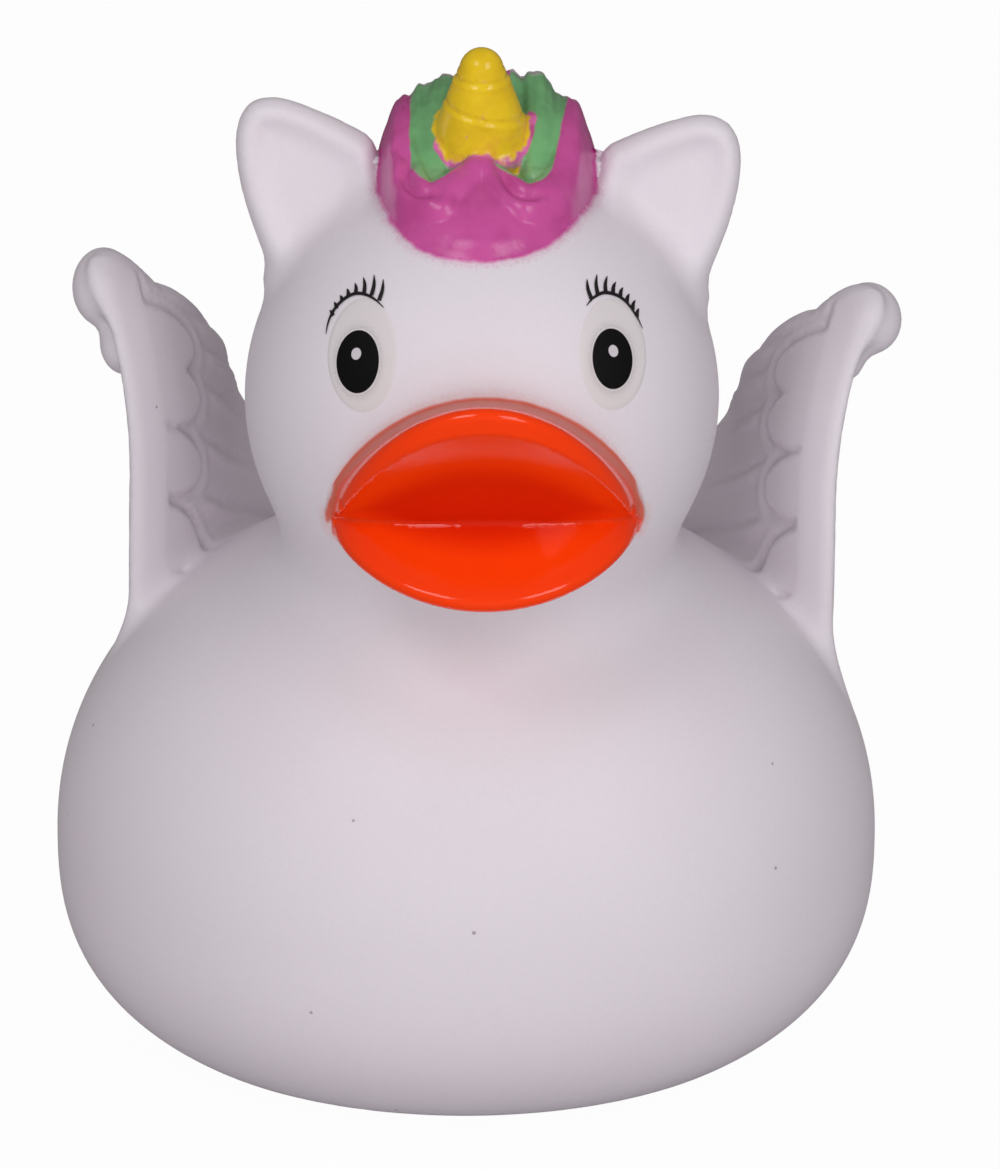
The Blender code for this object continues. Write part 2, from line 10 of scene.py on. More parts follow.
import bpy
import numpy as np
import openvdb
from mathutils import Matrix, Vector


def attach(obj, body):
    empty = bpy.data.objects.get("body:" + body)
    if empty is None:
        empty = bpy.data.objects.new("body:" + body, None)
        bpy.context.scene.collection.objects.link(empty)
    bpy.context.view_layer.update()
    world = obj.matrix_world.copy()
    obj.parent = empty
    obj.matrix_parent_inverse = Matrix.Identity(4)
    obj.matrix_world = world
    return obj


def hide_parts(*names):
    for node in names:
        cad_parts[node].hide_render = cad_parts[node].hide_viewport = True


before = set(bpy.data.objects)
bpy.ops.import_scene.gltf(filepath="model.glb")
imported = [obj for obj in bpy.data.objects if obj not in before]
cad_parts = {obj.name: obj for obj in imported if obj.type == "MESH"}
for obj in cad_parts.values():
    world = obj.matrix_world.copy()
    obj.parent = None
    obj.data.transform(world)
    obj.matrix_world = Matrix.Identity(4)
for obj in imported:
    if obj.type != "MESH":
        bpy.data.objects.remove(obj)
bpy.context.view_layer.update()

bl_info = {
    "name": "Winged unicorn bath duck",
    "version": (1, 0, 0),
    "blender": (4, 5, 0),
    "location": "3D Viewport > Sidebar > Bath Duck",
    "description": "Moulds, paints and prints a soft vinyl bath duck with its squeaker",
    "category": "Add Mesh",
}

MM = 0.001
WHITE = (1.0, 1.0, 1.0, 1.0)
# Farther than any outline, and the value of a paint mask away from its paint
FAR = 50.0
UNPAINTED = 9.0

# Body and head
BODY = (-1.2, -3.0, 18.85)
BODY_HALF_WIDTH = 37.6
BODY_RISE = 31.0
BODY_FRONT = 36.2
BODY_BACK = 39.0
BODY_BELOW = 22.7
POWER_ABOVE = 2.1
POWER_BELOW = 2.6
NECK_BLEND = 9.0
HEAD = np.array((0.3, -13.0, 63.2))
HEAD_RADIUS = 21.1

# Base
RECESS_RADIUS = 19.0
RECESS_DEPTH = 1.6
BASE_ROUNDING = 1.4
HOLE_RADIUS = 8.3
SKIN_FLOOR = 3.9
POCKET_RADIUS = 10.5
POCKET_TOP = 11.0

# Ears and wings sit a little askew: left side up, tops to the right
ASKEW_RISE = 0.042
ASKEW_LEAN = 0.0155
ASKEW_Z = 48.0

# Ear outline across and up from the middle of the head
EAR_OUTLINE = (
    (9.6, 14.0), (9.4, 19.0), (10.2, 22.3), (12.4, 23.7), (14.6, 24.65), (16.6, 25.35), (18.5, 25.8),
    (20.0, 25.7), (21.1, 25.2), (21.8, 24.3), (22.2, 23.2), (22.35, 21.6), (22.15, 19.3), (21.55, 16.6),
    (20.6, 13.8), (19.6, 11.2), (18.9, 9.0), (14.0, 8.5),
)
EAR_Y = -11.5
EAR_ROOT = (9.0, 12.0)
EAR_ANGLE = math.radians(51.8)
EAR_LENGTH = 16.0
EAR_HALF_AT_ROOT = 3.9
EAR_HALF_AT_TIP = 2.0
EAR_LEAN_BACK = 0.06
EAR_RIM = 1.2
EAR_CUP_DEPTH = 1.05

# Wing: its foot and its top, the line of its leading edge, how far out it stands and its thickness
WING_FOOT_Y = 12.0
WING_FOOT_Z = 24.0
WING_TIP_Z = 68.6
WING_CAP_Z = 68.2
WING_LEAD_Y = -2.0
WING_SWEEP = 10.0
WING_BEND_Z = 39.7
WING_BEND_RISE = 29.3
WING_OUT = 31.95
WING_FLARE = 4.4
WING_FLARE_Z = 50.0
WING_FLARE_RISE = 19.0
WING_INSET = 7.6
WING_DEPTH = 26.0
WING_FRONT_HALF = 1.12
WING_BACK_HALF = 1.0
# The wing's back edge as the notches between its feather tips, backward and up
WING_NOTCHES = (
    (7.6, 69.15), (11.5, 65.5), (19.2, 59.4), (26.4, 53.0), (30.7, 47.1), (29.3, 41.8), (24.4, 38.2),
    (17.6, 35.2), (12.5, 31.0),
)
FEATHER_BULGE = (0.62, 0.65, 0.75, 1.1, 1.3, 1.3, 1.0, 0.0)
FEATHER_LINES = (64.2, 61.9, 59.2, 55.5, 50.3, 45.2, 40.2)
FEATHER_ANGLE = math.radians(25.0)
COVERT_START = 2.6
COVERT_RADII = (6.3, 3.45)
COVERTS = ((5.8, 62.0), (3.6, 57.6), (1.2, 51.6), (-1.0, 45.0), (-1.8, 38.6))
# The curl at the top of each wing, as balls: middle, radii and blend
LEFT_CURLS = (((35.1, 10.8, 65.0), (2.9, 4.4, 3.6), 2.2), ((33.1, 9.2, 60.3), (2.3, 3.6, 2.9), 1.2))
RIGHT_CURLS = (((35.3, 10.8, 65.0), (3.0, 4.4, 3.2), 2.4), ((33.4, 9.6, 61.6), (1.5, 3.0, 2.0), 1.6))

# Bill, from the middle of the line between its corners
BILL = (0.6, -27.5, 56.0)
BILL_HALF_WIDTH = 14.0
MOUTH_HALF_WIDTH = 13.4
BILL_LIP = 0.8
# How far forward and up the rims and the crease reach in the middle of the bill
UPPER_RIM = (14.5, 14.4)
BILL_CREASE = (6.6, 1.75)
LOWER_RIM = (12.0, -3.1)

# Mane: outline of the paint and the locks, as x across the head and degrees forward of straight up
FRINGE = (
    (-9.75, -16.0), (-9.45, -4.0), (-9.0, 6.0), (-8.5, 14.0), (-7.95, 21.0), (-6.95, 28.5),
    (-5.5, 34.3), (-3.8, 37.6), (-2.0, 39.4), (-0.1, 39.9), (2.0, 39.3), (4.1, 36.9), (5.9, 32.6),
    (7.3, 27.0), (8.4, 20.0), (9.35, 11.0), (10.15, 0.0), (10.7, -14.5), (10.0, -34.0), (7.9, -60.0),
    (5.0, -90.0), (2.4, -108.0), (0.0, -114.0), (-2.4, -108.0), (-4.8, -90.0), (-7.3, -60.0),
    (-9.2, -34.0),
)
# Each lock: points of (x, degrees, half width, height above the head)
LOCKS = (
    (
        (-7.6, -62, 1.7, 3.0), (-8.5, -30, 2.0, 5.0), (-8.3, -15, 2.1, 5.4), (-8.3, -6, 2.1, 4.7),
        (-8.2, 5, 2.1, 3.5), (-7.6, 17, 1.8, 2.0), (-6.9, 24, 1.4, 1.2),
    ),
    (
        (-5.6, -66, 1.6, 3.4), (-6.7, -32, 1.7, 5.8), (-6.9, -15, 1.6, 6.4), (-7.0, -6, 1.6, 5.8),
        (-7.0, 3, 1.6, 4.5), (-6.7, 12, 1.7, 3.3), (-5.5, 21.5, 1.7, 2.6), (-3.6, 25, 1.6, 2.2),
    ),
    (
        (-3.9, -70, 1.4, 3.7), (-5.0, -34, 1.5, 6.3), (-5.2, -15, 1.4, 7.1), (-5.4, -6, 1.4, 6.0),
        (-5.3, 3, 1.4, 4.2), (-5.0, 12, 1.3, 2.3), (-4.5, 18, 1.0, 1.3),
    ),
    (
        (-2.2, -72, 1.5, 4.0), (-3.1, -34, 1.7, 6.9), (-3.2, -15, 1.7, 7.6), (-3.6, -6, 1.6, 6.6),
        (-4.0, 3, 1.5, 4.4), (-4.1, 13, 1.2, 2.0),
    ),
    (
        (0.2, -100, 2.0, 1.9), (0.2, -70, 2.2, 3.9), (0.2, -34, 2.6, 6.7), (0.0, -15, 2.4, 7.3),
        (0.0, -6, 2.0, 5.8),
    ),
    (
        (2.2, -72, 1.5, 4.0), (2.5, -34, 1.6, 7.0), (2.5, -15, 1.5, 7.9), (2.9, -4, 1.3, 5.8),
        (3.4, 3, 1.1, 3.6),
    ),
    (
        (3.8, -70, 1.5, 3.8), (4.6, -34, 1.6, 6.8), (4.9, -15, 1.6, 8.1), (5.0, -6, 1.6, 6.9),
        (5.1, 3, 1.5, 4.8), (4.9, 13, 1.3, 2.3),
    ),
    (
        (5.2, -66, 1.4, 3.4), (6.3, -32, 1.5, 5.9), (6.7, -15, 1.4, 6.6), (6.6, -6, 1.3, 5.8),
        (6.3, 3, 1.3, 4.4), (5.7, 13, 1.2, 2.2),
    ),
    (
        (6.6, -62, 1.5, 3.2), (8.0, -30, 1.6, 5.8), (8.3, -15, 1.6, 6.5), (8.1, -6, 1.6, 5.9),
        (7.9, 3, 1.6, 4.7), (7.1, 13, 1.7, 3.1), (5.6, 21.5, 1.7, 2.5), (3.8, 25, 1.6, 2.1),
    ),
    (
        (7.8, -58, 1.5, 2.7), (9.6, -28, 1.7, 4.9), (9.8, -15, 1.8, 5.5), (9.8, -6, 1.8, 4.8),
        (9.6, 3, 1.8, 3.7), (8.6, 14, 1.7, 2.0), (7.5, 22, 1.4, 1.2),
    ),
)
# The front lobe: a ridge in the middle and one along each half of its upper edge
LOBES = (
    (
        (-0.13, 12.5, 1.6, 3.05), (-0.13, 15.6, 1.8, 2.9), (-0.13, 20, 2.2, 1.75),
        (-0.12, 26, 3.0, 1.35), (-0.12, 34, 3.0, 0.9),
    ),
    ((-0.6, 14.5, 1.5, 2.6), (-2.6, 19.5, 1.7, 2.5), (-4.6, 23, 1.9, 2.4), (-6.3, 20, 1.8, 2.5)),
    ((0.4, 14.5, 1.5, 2.6), (2.2, 19.5, 1.7, 2.5), (4.2, 23.4, 1.9, 2.4), (6.0, 19.5, 1.8, 2.5)),
)
# The region behind the front lobe's upper edge, where the green and light pink bands lie lower
HOLLOW = (
    (-6.2, -16.0), (-6.35, 0.0), (-6.3, 9.0), (-6.05, 14.5), (-5.4, 18.3), (-4.5, 19.6), (-3.3, 18.4),
    (-1.8, 14.4), (-0.31, 11.8), (1.2, 14.2), (2.9, 18.4), (4.2, 19.9), (5.3, 19.0), (6.1, 15.2),
    (6.7, 7.0), (7.3, -4.0), (7.6, -16.0), (6.3, -50.0), (3.4, -96.0), (-2.8, -96.0), (-5.0, -50.0),
)
FRINGE_RISE = 1.7
HOLLOW_DROP = 0.75
CREASE_DEPTH = 0.85
CREASE_HALF_WIDTH = 0.55
CREASES = (
    ((-7.44, 7.2), (-6.27, 11.8), (-6.7, 16.0), (-5.71, 22.5), (-3.87, 24.2)),
    ((1.35, 15.0), (2.48, 21.6), (3.79, 24.3), (5.71, 23.3)),
)
# Light pink collar in front of the horn
COLLAR = (
    (-3.3, 7.6), (-2.6, 9.6), (-1.4, 11.0), (0.2, 11.4), (1.9, 10.4), (3.3, 7.4), (3.9, 2.5),
)
COLLAR_RISE = 1.55
COLLAR_RADIUS = 0.95
# Light pink runs back from the collar along this line
MIDDLE_LOCK = ((1.1, -8.0), (1.2, -15.0), (0.8, -34.0), (0.3, -70.0), (0.2, -98.0))

# Horn
HORN = (0.3, -13.6, 85.8)
HORN_LEAN = math.radians(18.0)
HORN_LENGTH = 10.4
HORN_ROOT = 5.0
HORN_TIP_RADIUS = 1.95
HORN_CONE_END = 1.32
HORN_SPREAD = 0.325
# Each groove: its share of the horn's length and its slant
HORN_GROOVES = ((0.44, 0.021), (0.75, 0.0))

# Tail: root, bend and tip, then half width and half thickness at the root, and what is left at the tip
TAIL = ((-1.2, 16.0, 26.0), (-1.2, 32.5, 31.0), (-1.2, 41.0, 42.0))
TAIL_HALF_WIDTH = 19.0
TAIL_HALF_THICKNESS = 13.0
TAIL_TIP_SHARE = 0.16
TAIL_GROOVE = 0.42

# Eyes: the way out of the head at the middle of each. Then, across and up in the plane that touches
# the head there: the oval and the pupil, each as middle, radii and turn, the middle of the glint, the
# lid line, and each lash from root to tip
EYES = {
    "left": (
        (-0.4902, -0.7736, 0.4015),
        ((-0.17, 0.12), (3.62, 5.30), 3.5),
        ((-0.47, -0.52), (2.17, 2.78), 2.0),
        (-0.55, 0.16),
        ((-3.87, 2.29), (-3.69, 3.39), (-3.25, 4.34), (-2.59, 5.04), (-1.8, 5.5), (-1.09, 5.66),
         (-0.36, 5.56), (0.4, 5.25), (1.16, 4.76), (1.93, 4.06)),
        (((-3.25, 3.88), (-3.69, 4.45)), ((-2.91, 4.48), (-3.31, 5.15)), ((-2.39, 5.06), (-2.75, 5.7)),
         ((-1.82, 5.42), (-2.09, 6.24)), ((-1.06, 5.64), (-1.35, 6.68)), ((-0.2, 5.6), (-0.58, 7.13)),
         ((0.58, 5.3), (0.48, 7.24)), ((1.4, 4.75), (1.48, 6.72))),
    ),
    "right": (
        (0.5417, -0.7392, 0.4002),
        ((0.16, 0.03), (3.64, 5.22), -3.0),
        ((-0.04, -0.50), (2.09, 2.68), -2.0),
        (-0.02, 0.17),
        ((-2.47, 3.97), (-1.79, 4.69), (-0.91, 5.26), (-0.16, 5.44), (0.67, 5.36), (1.38, 5.09),
         (2.06, 4.53), (2.63, 3.78), (3.01, 3.19), (3.3, 2.6)),
        (((-1.9, 4.65), (-2.01, 6.51)), ((-1.2, 5.1), (-0.9, 7.07)), ((-0.35, 5.4), (0.15, 7.04)),
         ((0.4, 5.42), (0.95, 6.6)), ((1.15, 5.2), (1.64, 6.18)), ((1.8, 4.8), (2.26, 5.68)),
         ((2.35, 4.25), (2.81, 5.16)), ((2.75, 3.6), (3.12, 4.46))),
    ),
}
EYE_EDGE_SINK = 0.08
GLINT_RADII = (0.5, 0.53)
LASH_BEND = 0.07

# Block of samples that the skin is first found from, and how far from the skin the samples still count
GRID_LOW = (-42.0, -46.0, -2.6)
GRID_HIGH = (42.6, 46.0, 99.0)
GRID_STEP = 1.0
GRID_BAND = 4.0
# Below this agreement between the forms' slope and the triangles the skin counts as folded
FOLD_COSINE = 0.985

# Where the skin's mesh is finer: lowest corner, highest corner and longest edge of each block, which
# are the tail, the wings, the ears, the bill and its two corners, and the base
COARSE_EDGE = 2.0
FINE_ZONES = (
    ((-24, 24, 16), (22, 46, 50), 1.0),
    ((-42, -6, 30), (-14, 36, 73), 0.58),
    ((14, -6, 28), (42, 36, 71), 0.58),
    ((-25, -18, 72), (-8, -5, 93), 0.8),
    ((9, -18, 72), (26, -5, 93), 0.8),
    ((-15, -45, 44), (16, -24, 73), 0.5),
    ((-15, -38, 52), (-7.5, -25, 67), 0.34),
    ((8.5, -38, 52), (16, -25, 67), 0.34),
    ((-20, -20, -1), (20, 20, 12), 0.8),
)
MANE_EDGE = 0.42
NAPE_EDGE = 0.7
HORN_ZONE = ((-6, -22, 84.5), (7, -7, 98), 0.36)

# Triangles that replace one with cut edges: 0 to 2 are its corners and 3 to 5 the middles after them
ONE_CUT = ([0, 3, 2], [3, 1, 2])
TWO_CUTS = ([3, 1, 4], [0, 3, 4], [0, 4, 2])
THREE_CUTS = ([0, 3, 5], [3, 1, 4], [5, 4, 2], [3, 4, 5])

# Stage, in metres: the floor, the camera of the photograph and what the lamps point at
FLOOR_RADIUS = 4.0
FLOOR_SIDES = 48
CAMERA_PLACE = (0.001912, -0.65362, 0.25362)
CAMERA_TURN = (math.radians(72.0), 0.0, 0.0)
CAMERA_LENS = 231.1
LAMP_TARGET = (0.0, -0.005, 0.045)


def smooth_min(a, b, blend):
    near = np.maximum(blend - np.abs(a - b), 0.0)
    return np.minimum(a, b) - near * near / (4.0 * blend)


def smooth_max(a, b, blend):
    return -smooth_min(-a, -b, blend)


def ramp(low, high, value):
    share = np.clip((value - low) / (high - low), 0.0, 1.0)
    return share * share * (3.0 - 2.0 * share)


def to_segment(x, y, start, end):
    """Squared distance from a straight stretch, and the share of it at the nearest point."""
    ex, ey = end[0] - start[0], end[1] - start[1]
    wx, wy = x - start[0], y - start[1]
    share = np.clip((wx * ex + wy * ey) / (ex * ex + ey * ey + 1e-9), 0.0, 1.0)
    return (wx - share * ex) ** 2 + (wy - share * ey) ** 2, share


def outline_gap(x, y, outline):
    """Distance from a closed outline, negative inside it. Its points may differ from place to place."""
    nearest = np.full(x.shape, FAR * FAR)
    sign = np.ones(x.shape)
    for i in range(len(outline)):
        (ax, ay), (bx, by) = outline[i - 1], outline[i]
        nearest = np.minimum(nearest, to_segment(x, y, outline[i - 1], outline[i])[0])
        above, below = y >= ay, y < by
        left = (bx - ax) * (y - ay) > (by - ay) * (x - ax)
        sign = np.where((above & below & left) | ~(above | below | left), -sign, sign)
    return sign * np.sqrt(nearest)


def line_gap(x, y, line):
    """Distance from an open line and the share of its length at the nearest point."""
    nearest = np.full(x.shape, FAR * FAR)
    place = np.zeros(x.shape)
    count = len(line) - 1
    for i in range(count):
        gap, share = to_segment(x, y, line[i], line[i + 1])
        place = np.where(gap < nearest, (i + share) / count, place)
        nearest = np.minimum(nearest, gap)
    return np.sqrt(nearest), place


def smooth_line(points, closed=False):
    """A line of points and sizes, rounded through its points and cut into thirds between them."""
    points = np.array(points, float)
    if closed:
        ends = np.vstack([points[-1:], points, points[:2]])
    else:
        ends = np.vstack([2 * points[0] - points[1], points, 2 * points[-1] - points[-2]])
    made = []
    for a, b, c, d in zip(ends, ends[1:], ends[2:], ends[3:]):
        square, cube = 2 * a - 5 * b + 4 * c - d, 3 * b - a - 3 * c + d
        made += [0.5 * (2 * b + (c - a) * t + square * t**2 + cube * t**3) for t in np.arange(3) / 3]
    return np.array(made if closed else [*made, points[-1]])


def upright(p, side):
    """Places in the straight frame of the right-hand ear and wing: across, back, up."""
    out = side * (p[:, 0] - HEAD[0] - ASKEW_LEAN * (p[:, 2] - ASKEW_Z))
    x = out / (1.0 + side * ASKEW_LEAN * ASKEW_RISE)
    return x, p[:, 1], p[:, 2] + ASKEW_RISE * side * x


def body_form(p, s):
    """A rounded body, flatter below its widest level than above it."""
    across = (p[:, 0] - BODY[0]) / s["body_half_width"]
    deep = (p[:, 1] - BODY[1]) / np.where(p[:, 1] < BODY[1], BODY_FRONT, BODY_BACK)
    high = p[:, 2] - BODY[2]
    power = np.where(high > 0.0, POWER_ABOVE, POWER_BELOW)
    high = np.abs(high) / np.where(high > 0.0, s["body_rise"], BODY_BELOW)
    return ((np.hypot(across, deep) ** power + high**power) ** (1.0 / power) - 1.0) * s["body_rise"]


def tail_line(share):
    """The middle of the tail at shares of its length, and the way it runs there."""
    root, bend, tip = np.array(TAIL)
    share = np.asarray(share)[..., None]
    middle = (1 - share) ** 2 * root + 2 * share * (1 - share) * bend + share**2 * tip
    return middle, 2 * (1 - share) * (bend - root) + 2 * share * (tip - bend)


def tail_form(p):
    """Flat ovals that shrink along a bent line and turn up, with shallow feather grooves on top."""
    best, place = np.full(len(p), FAR * FAR), np.zeros(len(p))
    for share in np.linspace(0.0, 1.0, 33):
        gap = ((p - tail_line(share)[0])[:, 1:] ** 2).sum(1)
        place = np.where(gap < best, share, place)
        best = np.minimum(best, gap)
    for _ in range(3):
        middle, way = tail_line(place)
        step = ((middle - p) * way)[:, 1:].sum(1) / (way[:, 1:] ** 2).sum(1)
        place = np.clip(place - step, 0.0, 1.0)
    gap = np.sqrt(((p - tail_line(place)[0])[:, 1:] ** 2).sum(1))
    size = TAIL_TIP_SHARE + (1.0 - TAIL_TIP_SHARE) * np.maximum(1.0 - place**1.6, 0.0) ** 0.8
    width, thick = TAIL_HALF_WIDTH * size, TAIL_HALF_THICKNESS * size
    x = p[:, 0] - TAIL[0][0]
    groove = np.exp(-(((np.abs(x) - 0.42 * width) / 0.7) ** 2)) + 0.8 * np.exp(-((x / 0.6) ** 2))
    relief = TAIL_GROOVE * groove * ramp(0.35, 0.62, place) * (1.0 - ramp(0.93, 1.0, place))
    return (np.hypot(x / width, gap / thick) - 1.0) * thick * 0.9 + relief


def ear_form(p, side, outline):
    """A cupped ear: thick rounded rim, hollow front, its side running on into the head as a ridge."""
    x, y, z = upright(p, side)
    z = z - HEAD[2]
    inside = outline_gap(x, z, outline)
    along = (x - EAR_ROOT[0]) * math.cos(EAR_ANGLE) + (z - EAR_ROOT[1]) * math.sin(EAR_ANGLE)
    half = EAR_HALF_AT_ROOT + (EAR_HALF_AT_TIP - EAR_HALF_AT_ROOT) * ramp(0.0, EAR_LENGTH, along)
    y = y - EAR_Y - EAR_LEAN_BACK * along
    solid = np.hypot(np.maximum(inside + half, 0.0), y) - half
    bottom = y + half - EAR_CUP_DEPTH * ramp(-3.0, 6.0, along)
    bowl = smooth_max(inside + EAR_RIM, bottom, 2.6)
    return smooth_max(solid, -bowl, 1.1)


def wing_lead(z):
    """How far back the wing's leading edge lies at each height."""
    return WING_LEAD_Y + WING_SWEEP * (np.maximum(z - WING_BEND_Z, 0.0) / WING_BEND_RISE) ** 2


def wing_outline():
    """The wing from the side: the leading edge, then feather tips from the top down to the root."""
    up = np.linspace(WING_FOOT_Z, WING_TIP_Z, 24)
    trail = []
    for (ay, az), (by, bz), bulge in zip(WING_NOTCHES, WING_NOTCHES[1:], FEATHER_BULGE):
        ny, nz = bz - az, ay - by
        size = math.hypot(ny, nz)
        for share in np.arange(8) / 8:
            out = -bulge * (math.sin(math.pi * share**0.8) ** 0.75) / size
            trail.append((ay + (by - ay) * share + ny * out, az + (bz - az) * share + nz * out))
    return [*zip(wing_lead(up), up), *trail, (WING_FOOT_Y, WING_FOOT_Z)]


def wing_pattern(y, z, behind):
    """Height of the feathers over the plain wing: a row of round coverts, then long feathers."""
    cos, sin = math.cos(FEATHER_ANGLE), math.sin(FEATHER_ANGLE)
    row = behind - COVERT_START
    for cy, cz in COVERTS:
        a = (y - cy) * cos - (z - cz) * sin
        b = (y - cy) * sin + (z - cz) * cos
        lobe = (np.hypot(a / COVERT_RADII[0], b / COVERT_RADII[1]) - 1.0) * 3.9
        row = smooth_min(row, lobe, 0.5)
    coverts = 0.75 * (1.0 - ramp(-1.0, 0.1, row)) + 0.16 * np.exp(-(((row - 0.75) / 0.5) ** 2))
    coverts -= 0.3 * np.exp(-(((row - 0.1) / 0.34) ** 2))
    across = sin * y + cos * z - 0.002 * (y - 16.0) ** 2
    feathers = np.zeros(y.shape)
    for line in FEATHER_LINES:
        groove, ridge = (across - line) / 0.42, (across - line + 1.0) / 0.8
        feathers += 0.36 * np.exp(-(ridge**2)) - 0.40 * np.exp(-(groove**2))
    return coverts + feathers * ramp(0.7, 2.6, row)


def wing_form(p, side, outline):
    """A blade, round and thick in front and thin behind, curved inward, with feathers on both faces."""
    x, y, z = upright(p, side)
    inside = smooth_max(outline_gap(y, z, outline), z - WING_CAP_Z, 1.8)
    behind = y - wing_lead(z)
    run = 0.5 * (behind + np.sqrt(behind**2 + 1.0))
    flare = WING_FLARE * (np.maximum(z - WING_FLARE_Z, 0.0) / WING_FLARE_RISE) ** 2
    wrap = 1.0 - ramp(WING_BEND_Z, 52.0, z)
    inset = WING_INSET * (1.0 - np.exp(-run / 8.1)) + 0.007 * wrap * run**2
    level = np.abs(x - (WING_OUT + flare - inset))
    back = ramp(0.0, WING_DEPTH, run)
    front_half = WING_FRONT_HALF - 0.05 * ramp(48.0, 69.0, z)
    half = front_half * (1.0 - back) + WING_BACK_HALF * back
    fade = ramp(0.2, 1.6, -inside) * ramp(-3.0, 4.2, behind) * ramp(0.4, 1.2, level)
    fade *= ramp(36.0, 41.0, z + 0.1 * run)
    level = level - wing_pattern(y, z, behind) * fade
    blade = np.hypot(np.maximum(inside + half, 0.0), level) - half
    for centre, radii, blend in LEFT_CURLS if side < 0 else RIGHT_CURLS:
        a, b, c = ((v - m) / r for v, m, r in zip((x, y, z), centre, radii))
        size = np.sqrt(a * a + b * b + c * c)
        blade = smooth_min(blade, (size - 1.0) * min(radii), blend)
    return blade


def bill_section(p):
    """The bill's outline on the level across each place, its rounding, and how far out each place is."""
    x = p[:, 0] - BILL[0]
    bow = np.sqrt(np.maximum(1.0 - (x / MOUTH_HALF_WIDTH) ** 2, 0.0) + 0.0004)
    wide = np.sqrt(np.maximum(1.0 - (x / BILL_HALF_WIDTH) ** 2, 0.0) + 0.0004)
    y0, z0 = BILL[1] + 2.6 * (1.0 - wide) ** 2, BILL[2]
    lip = BILL_LIP * (0.4 + 0.6 * bow)
    upper_y, upper_z = y0 - UPPER_RIM[0] * bow, z0 + UPPER_RIM[1] * bow**1.32
    crease_y, crease_z = y0 - BILL_CREASE[0] * bow, z0 + BILL_CREASE[1] * bow
    lower_y, lower_z = y0 - LOWER_RIM[0] * bow, z0 + LOWER_RIM[1] * bow**2
    roof_y, roof_z = (upper_y + crease_y) / 2.0 + lip - 0.1 * bow, (upper_z + crease_z) / 2.0 - 0.3 * bow
    tray_y, tray_z = (lower_y + crease_y) / 2.0 + lip, (lower_z + crease_z) / 2.0 - 0.45 * bow - 0.5 * lip
    under = lower_z - lip
    root_z = z0 + 0.5 + 12.3 * wide**1.25
    chin_z = z0 - 0.2 - 7.4 * wide**2.2
    face = HEAD_RADIUS**2 - (p[:, 0] - HEAD[0]) ** 2 - (root_z - HEAD[2]) ** 2
    face_y = HEAD[1] - np.sqrt(np.maximum(face, 0.0))
    inside_y = np.full(len(p), HEAD[1] - 7.0)
    outline = [
        (inside_y, root_z - lip),
        (face_y, root_z - lip),
        ((face_y + upper_y) / 2.0, root_z + 0.55 * (upper_z - root_z) - lip),
        (upper_y + lip, upper_z - lip),
        (upper_y + lip + 0.15 * bow, upper_z - 2.2 * lip),
        (roof_y, roof_z),
        (crease_y + lip + 0.7, crease_z),
        (tray_y, tray_z),
        (lower_y + lip + 0.1, under),
        (y0 - 9.5 * bow, np.minimum(z0 - 4.1 * bow**2, under)),
        (y0 - 4.0 * bow, np.minimum(z0 - 5.7 * bow**2, under)),
        (np.full(len(p), BILL[1] + 1.5), np.minimum(chin_z + lip, under)),
        (inside_y, np.minimum(chin_z + lip, under)),
    ]
    return outline, lip, np.abs(x) - BILL_HALF_WIDTH


def bill_form(p):
    """The open bill: hollow above, a shallow tray below and a crease between them."""
    outline, lip, beyond = bill_section(p)
    return smooth_max(outline_gap(p[:, 1], p[:, 2], outline) - lip, beyond, 0.5)


def bill_face(p):
    """Negative on the mouth's side of the bill's rims, positive on its outside."""
    outline = bill_section(p)[0]
    gaps = []
    for path in (outline[3:9], [*outline[8:], *outline[:4]]):
        squares = [to_segment(p[:, 1], p[:, 2], a, b)[0] for a, b in zip(path, path[1:])]
        gaps.append(np.sqrt(np.min(squares, axis=0)))
    return gaps[0] - gaps[1]


def head_reach(p):
    """How far each place stands over the round head."""
    return np.sqrt(((p - HEAD) ** 2).sum(1)) - HEAD_RADIUS


def head_map(p):
    """Places round the head: across, then arc length forward of straight up."""
    y, z = p[:, 1] - HEAD[1], p[:, 2] - HEAD[2]
    return p[:, 0] - HEAD[0], np.arctan2(-y, z) * HEAD_RADIUS


def flat(points):
    """Points given across and in degrees, as places on the map of the head."""
    made = np.array(points, float)
    made[:, 1] = np.radians(made[:, 1]) * HEAD_RADIUS
    return made


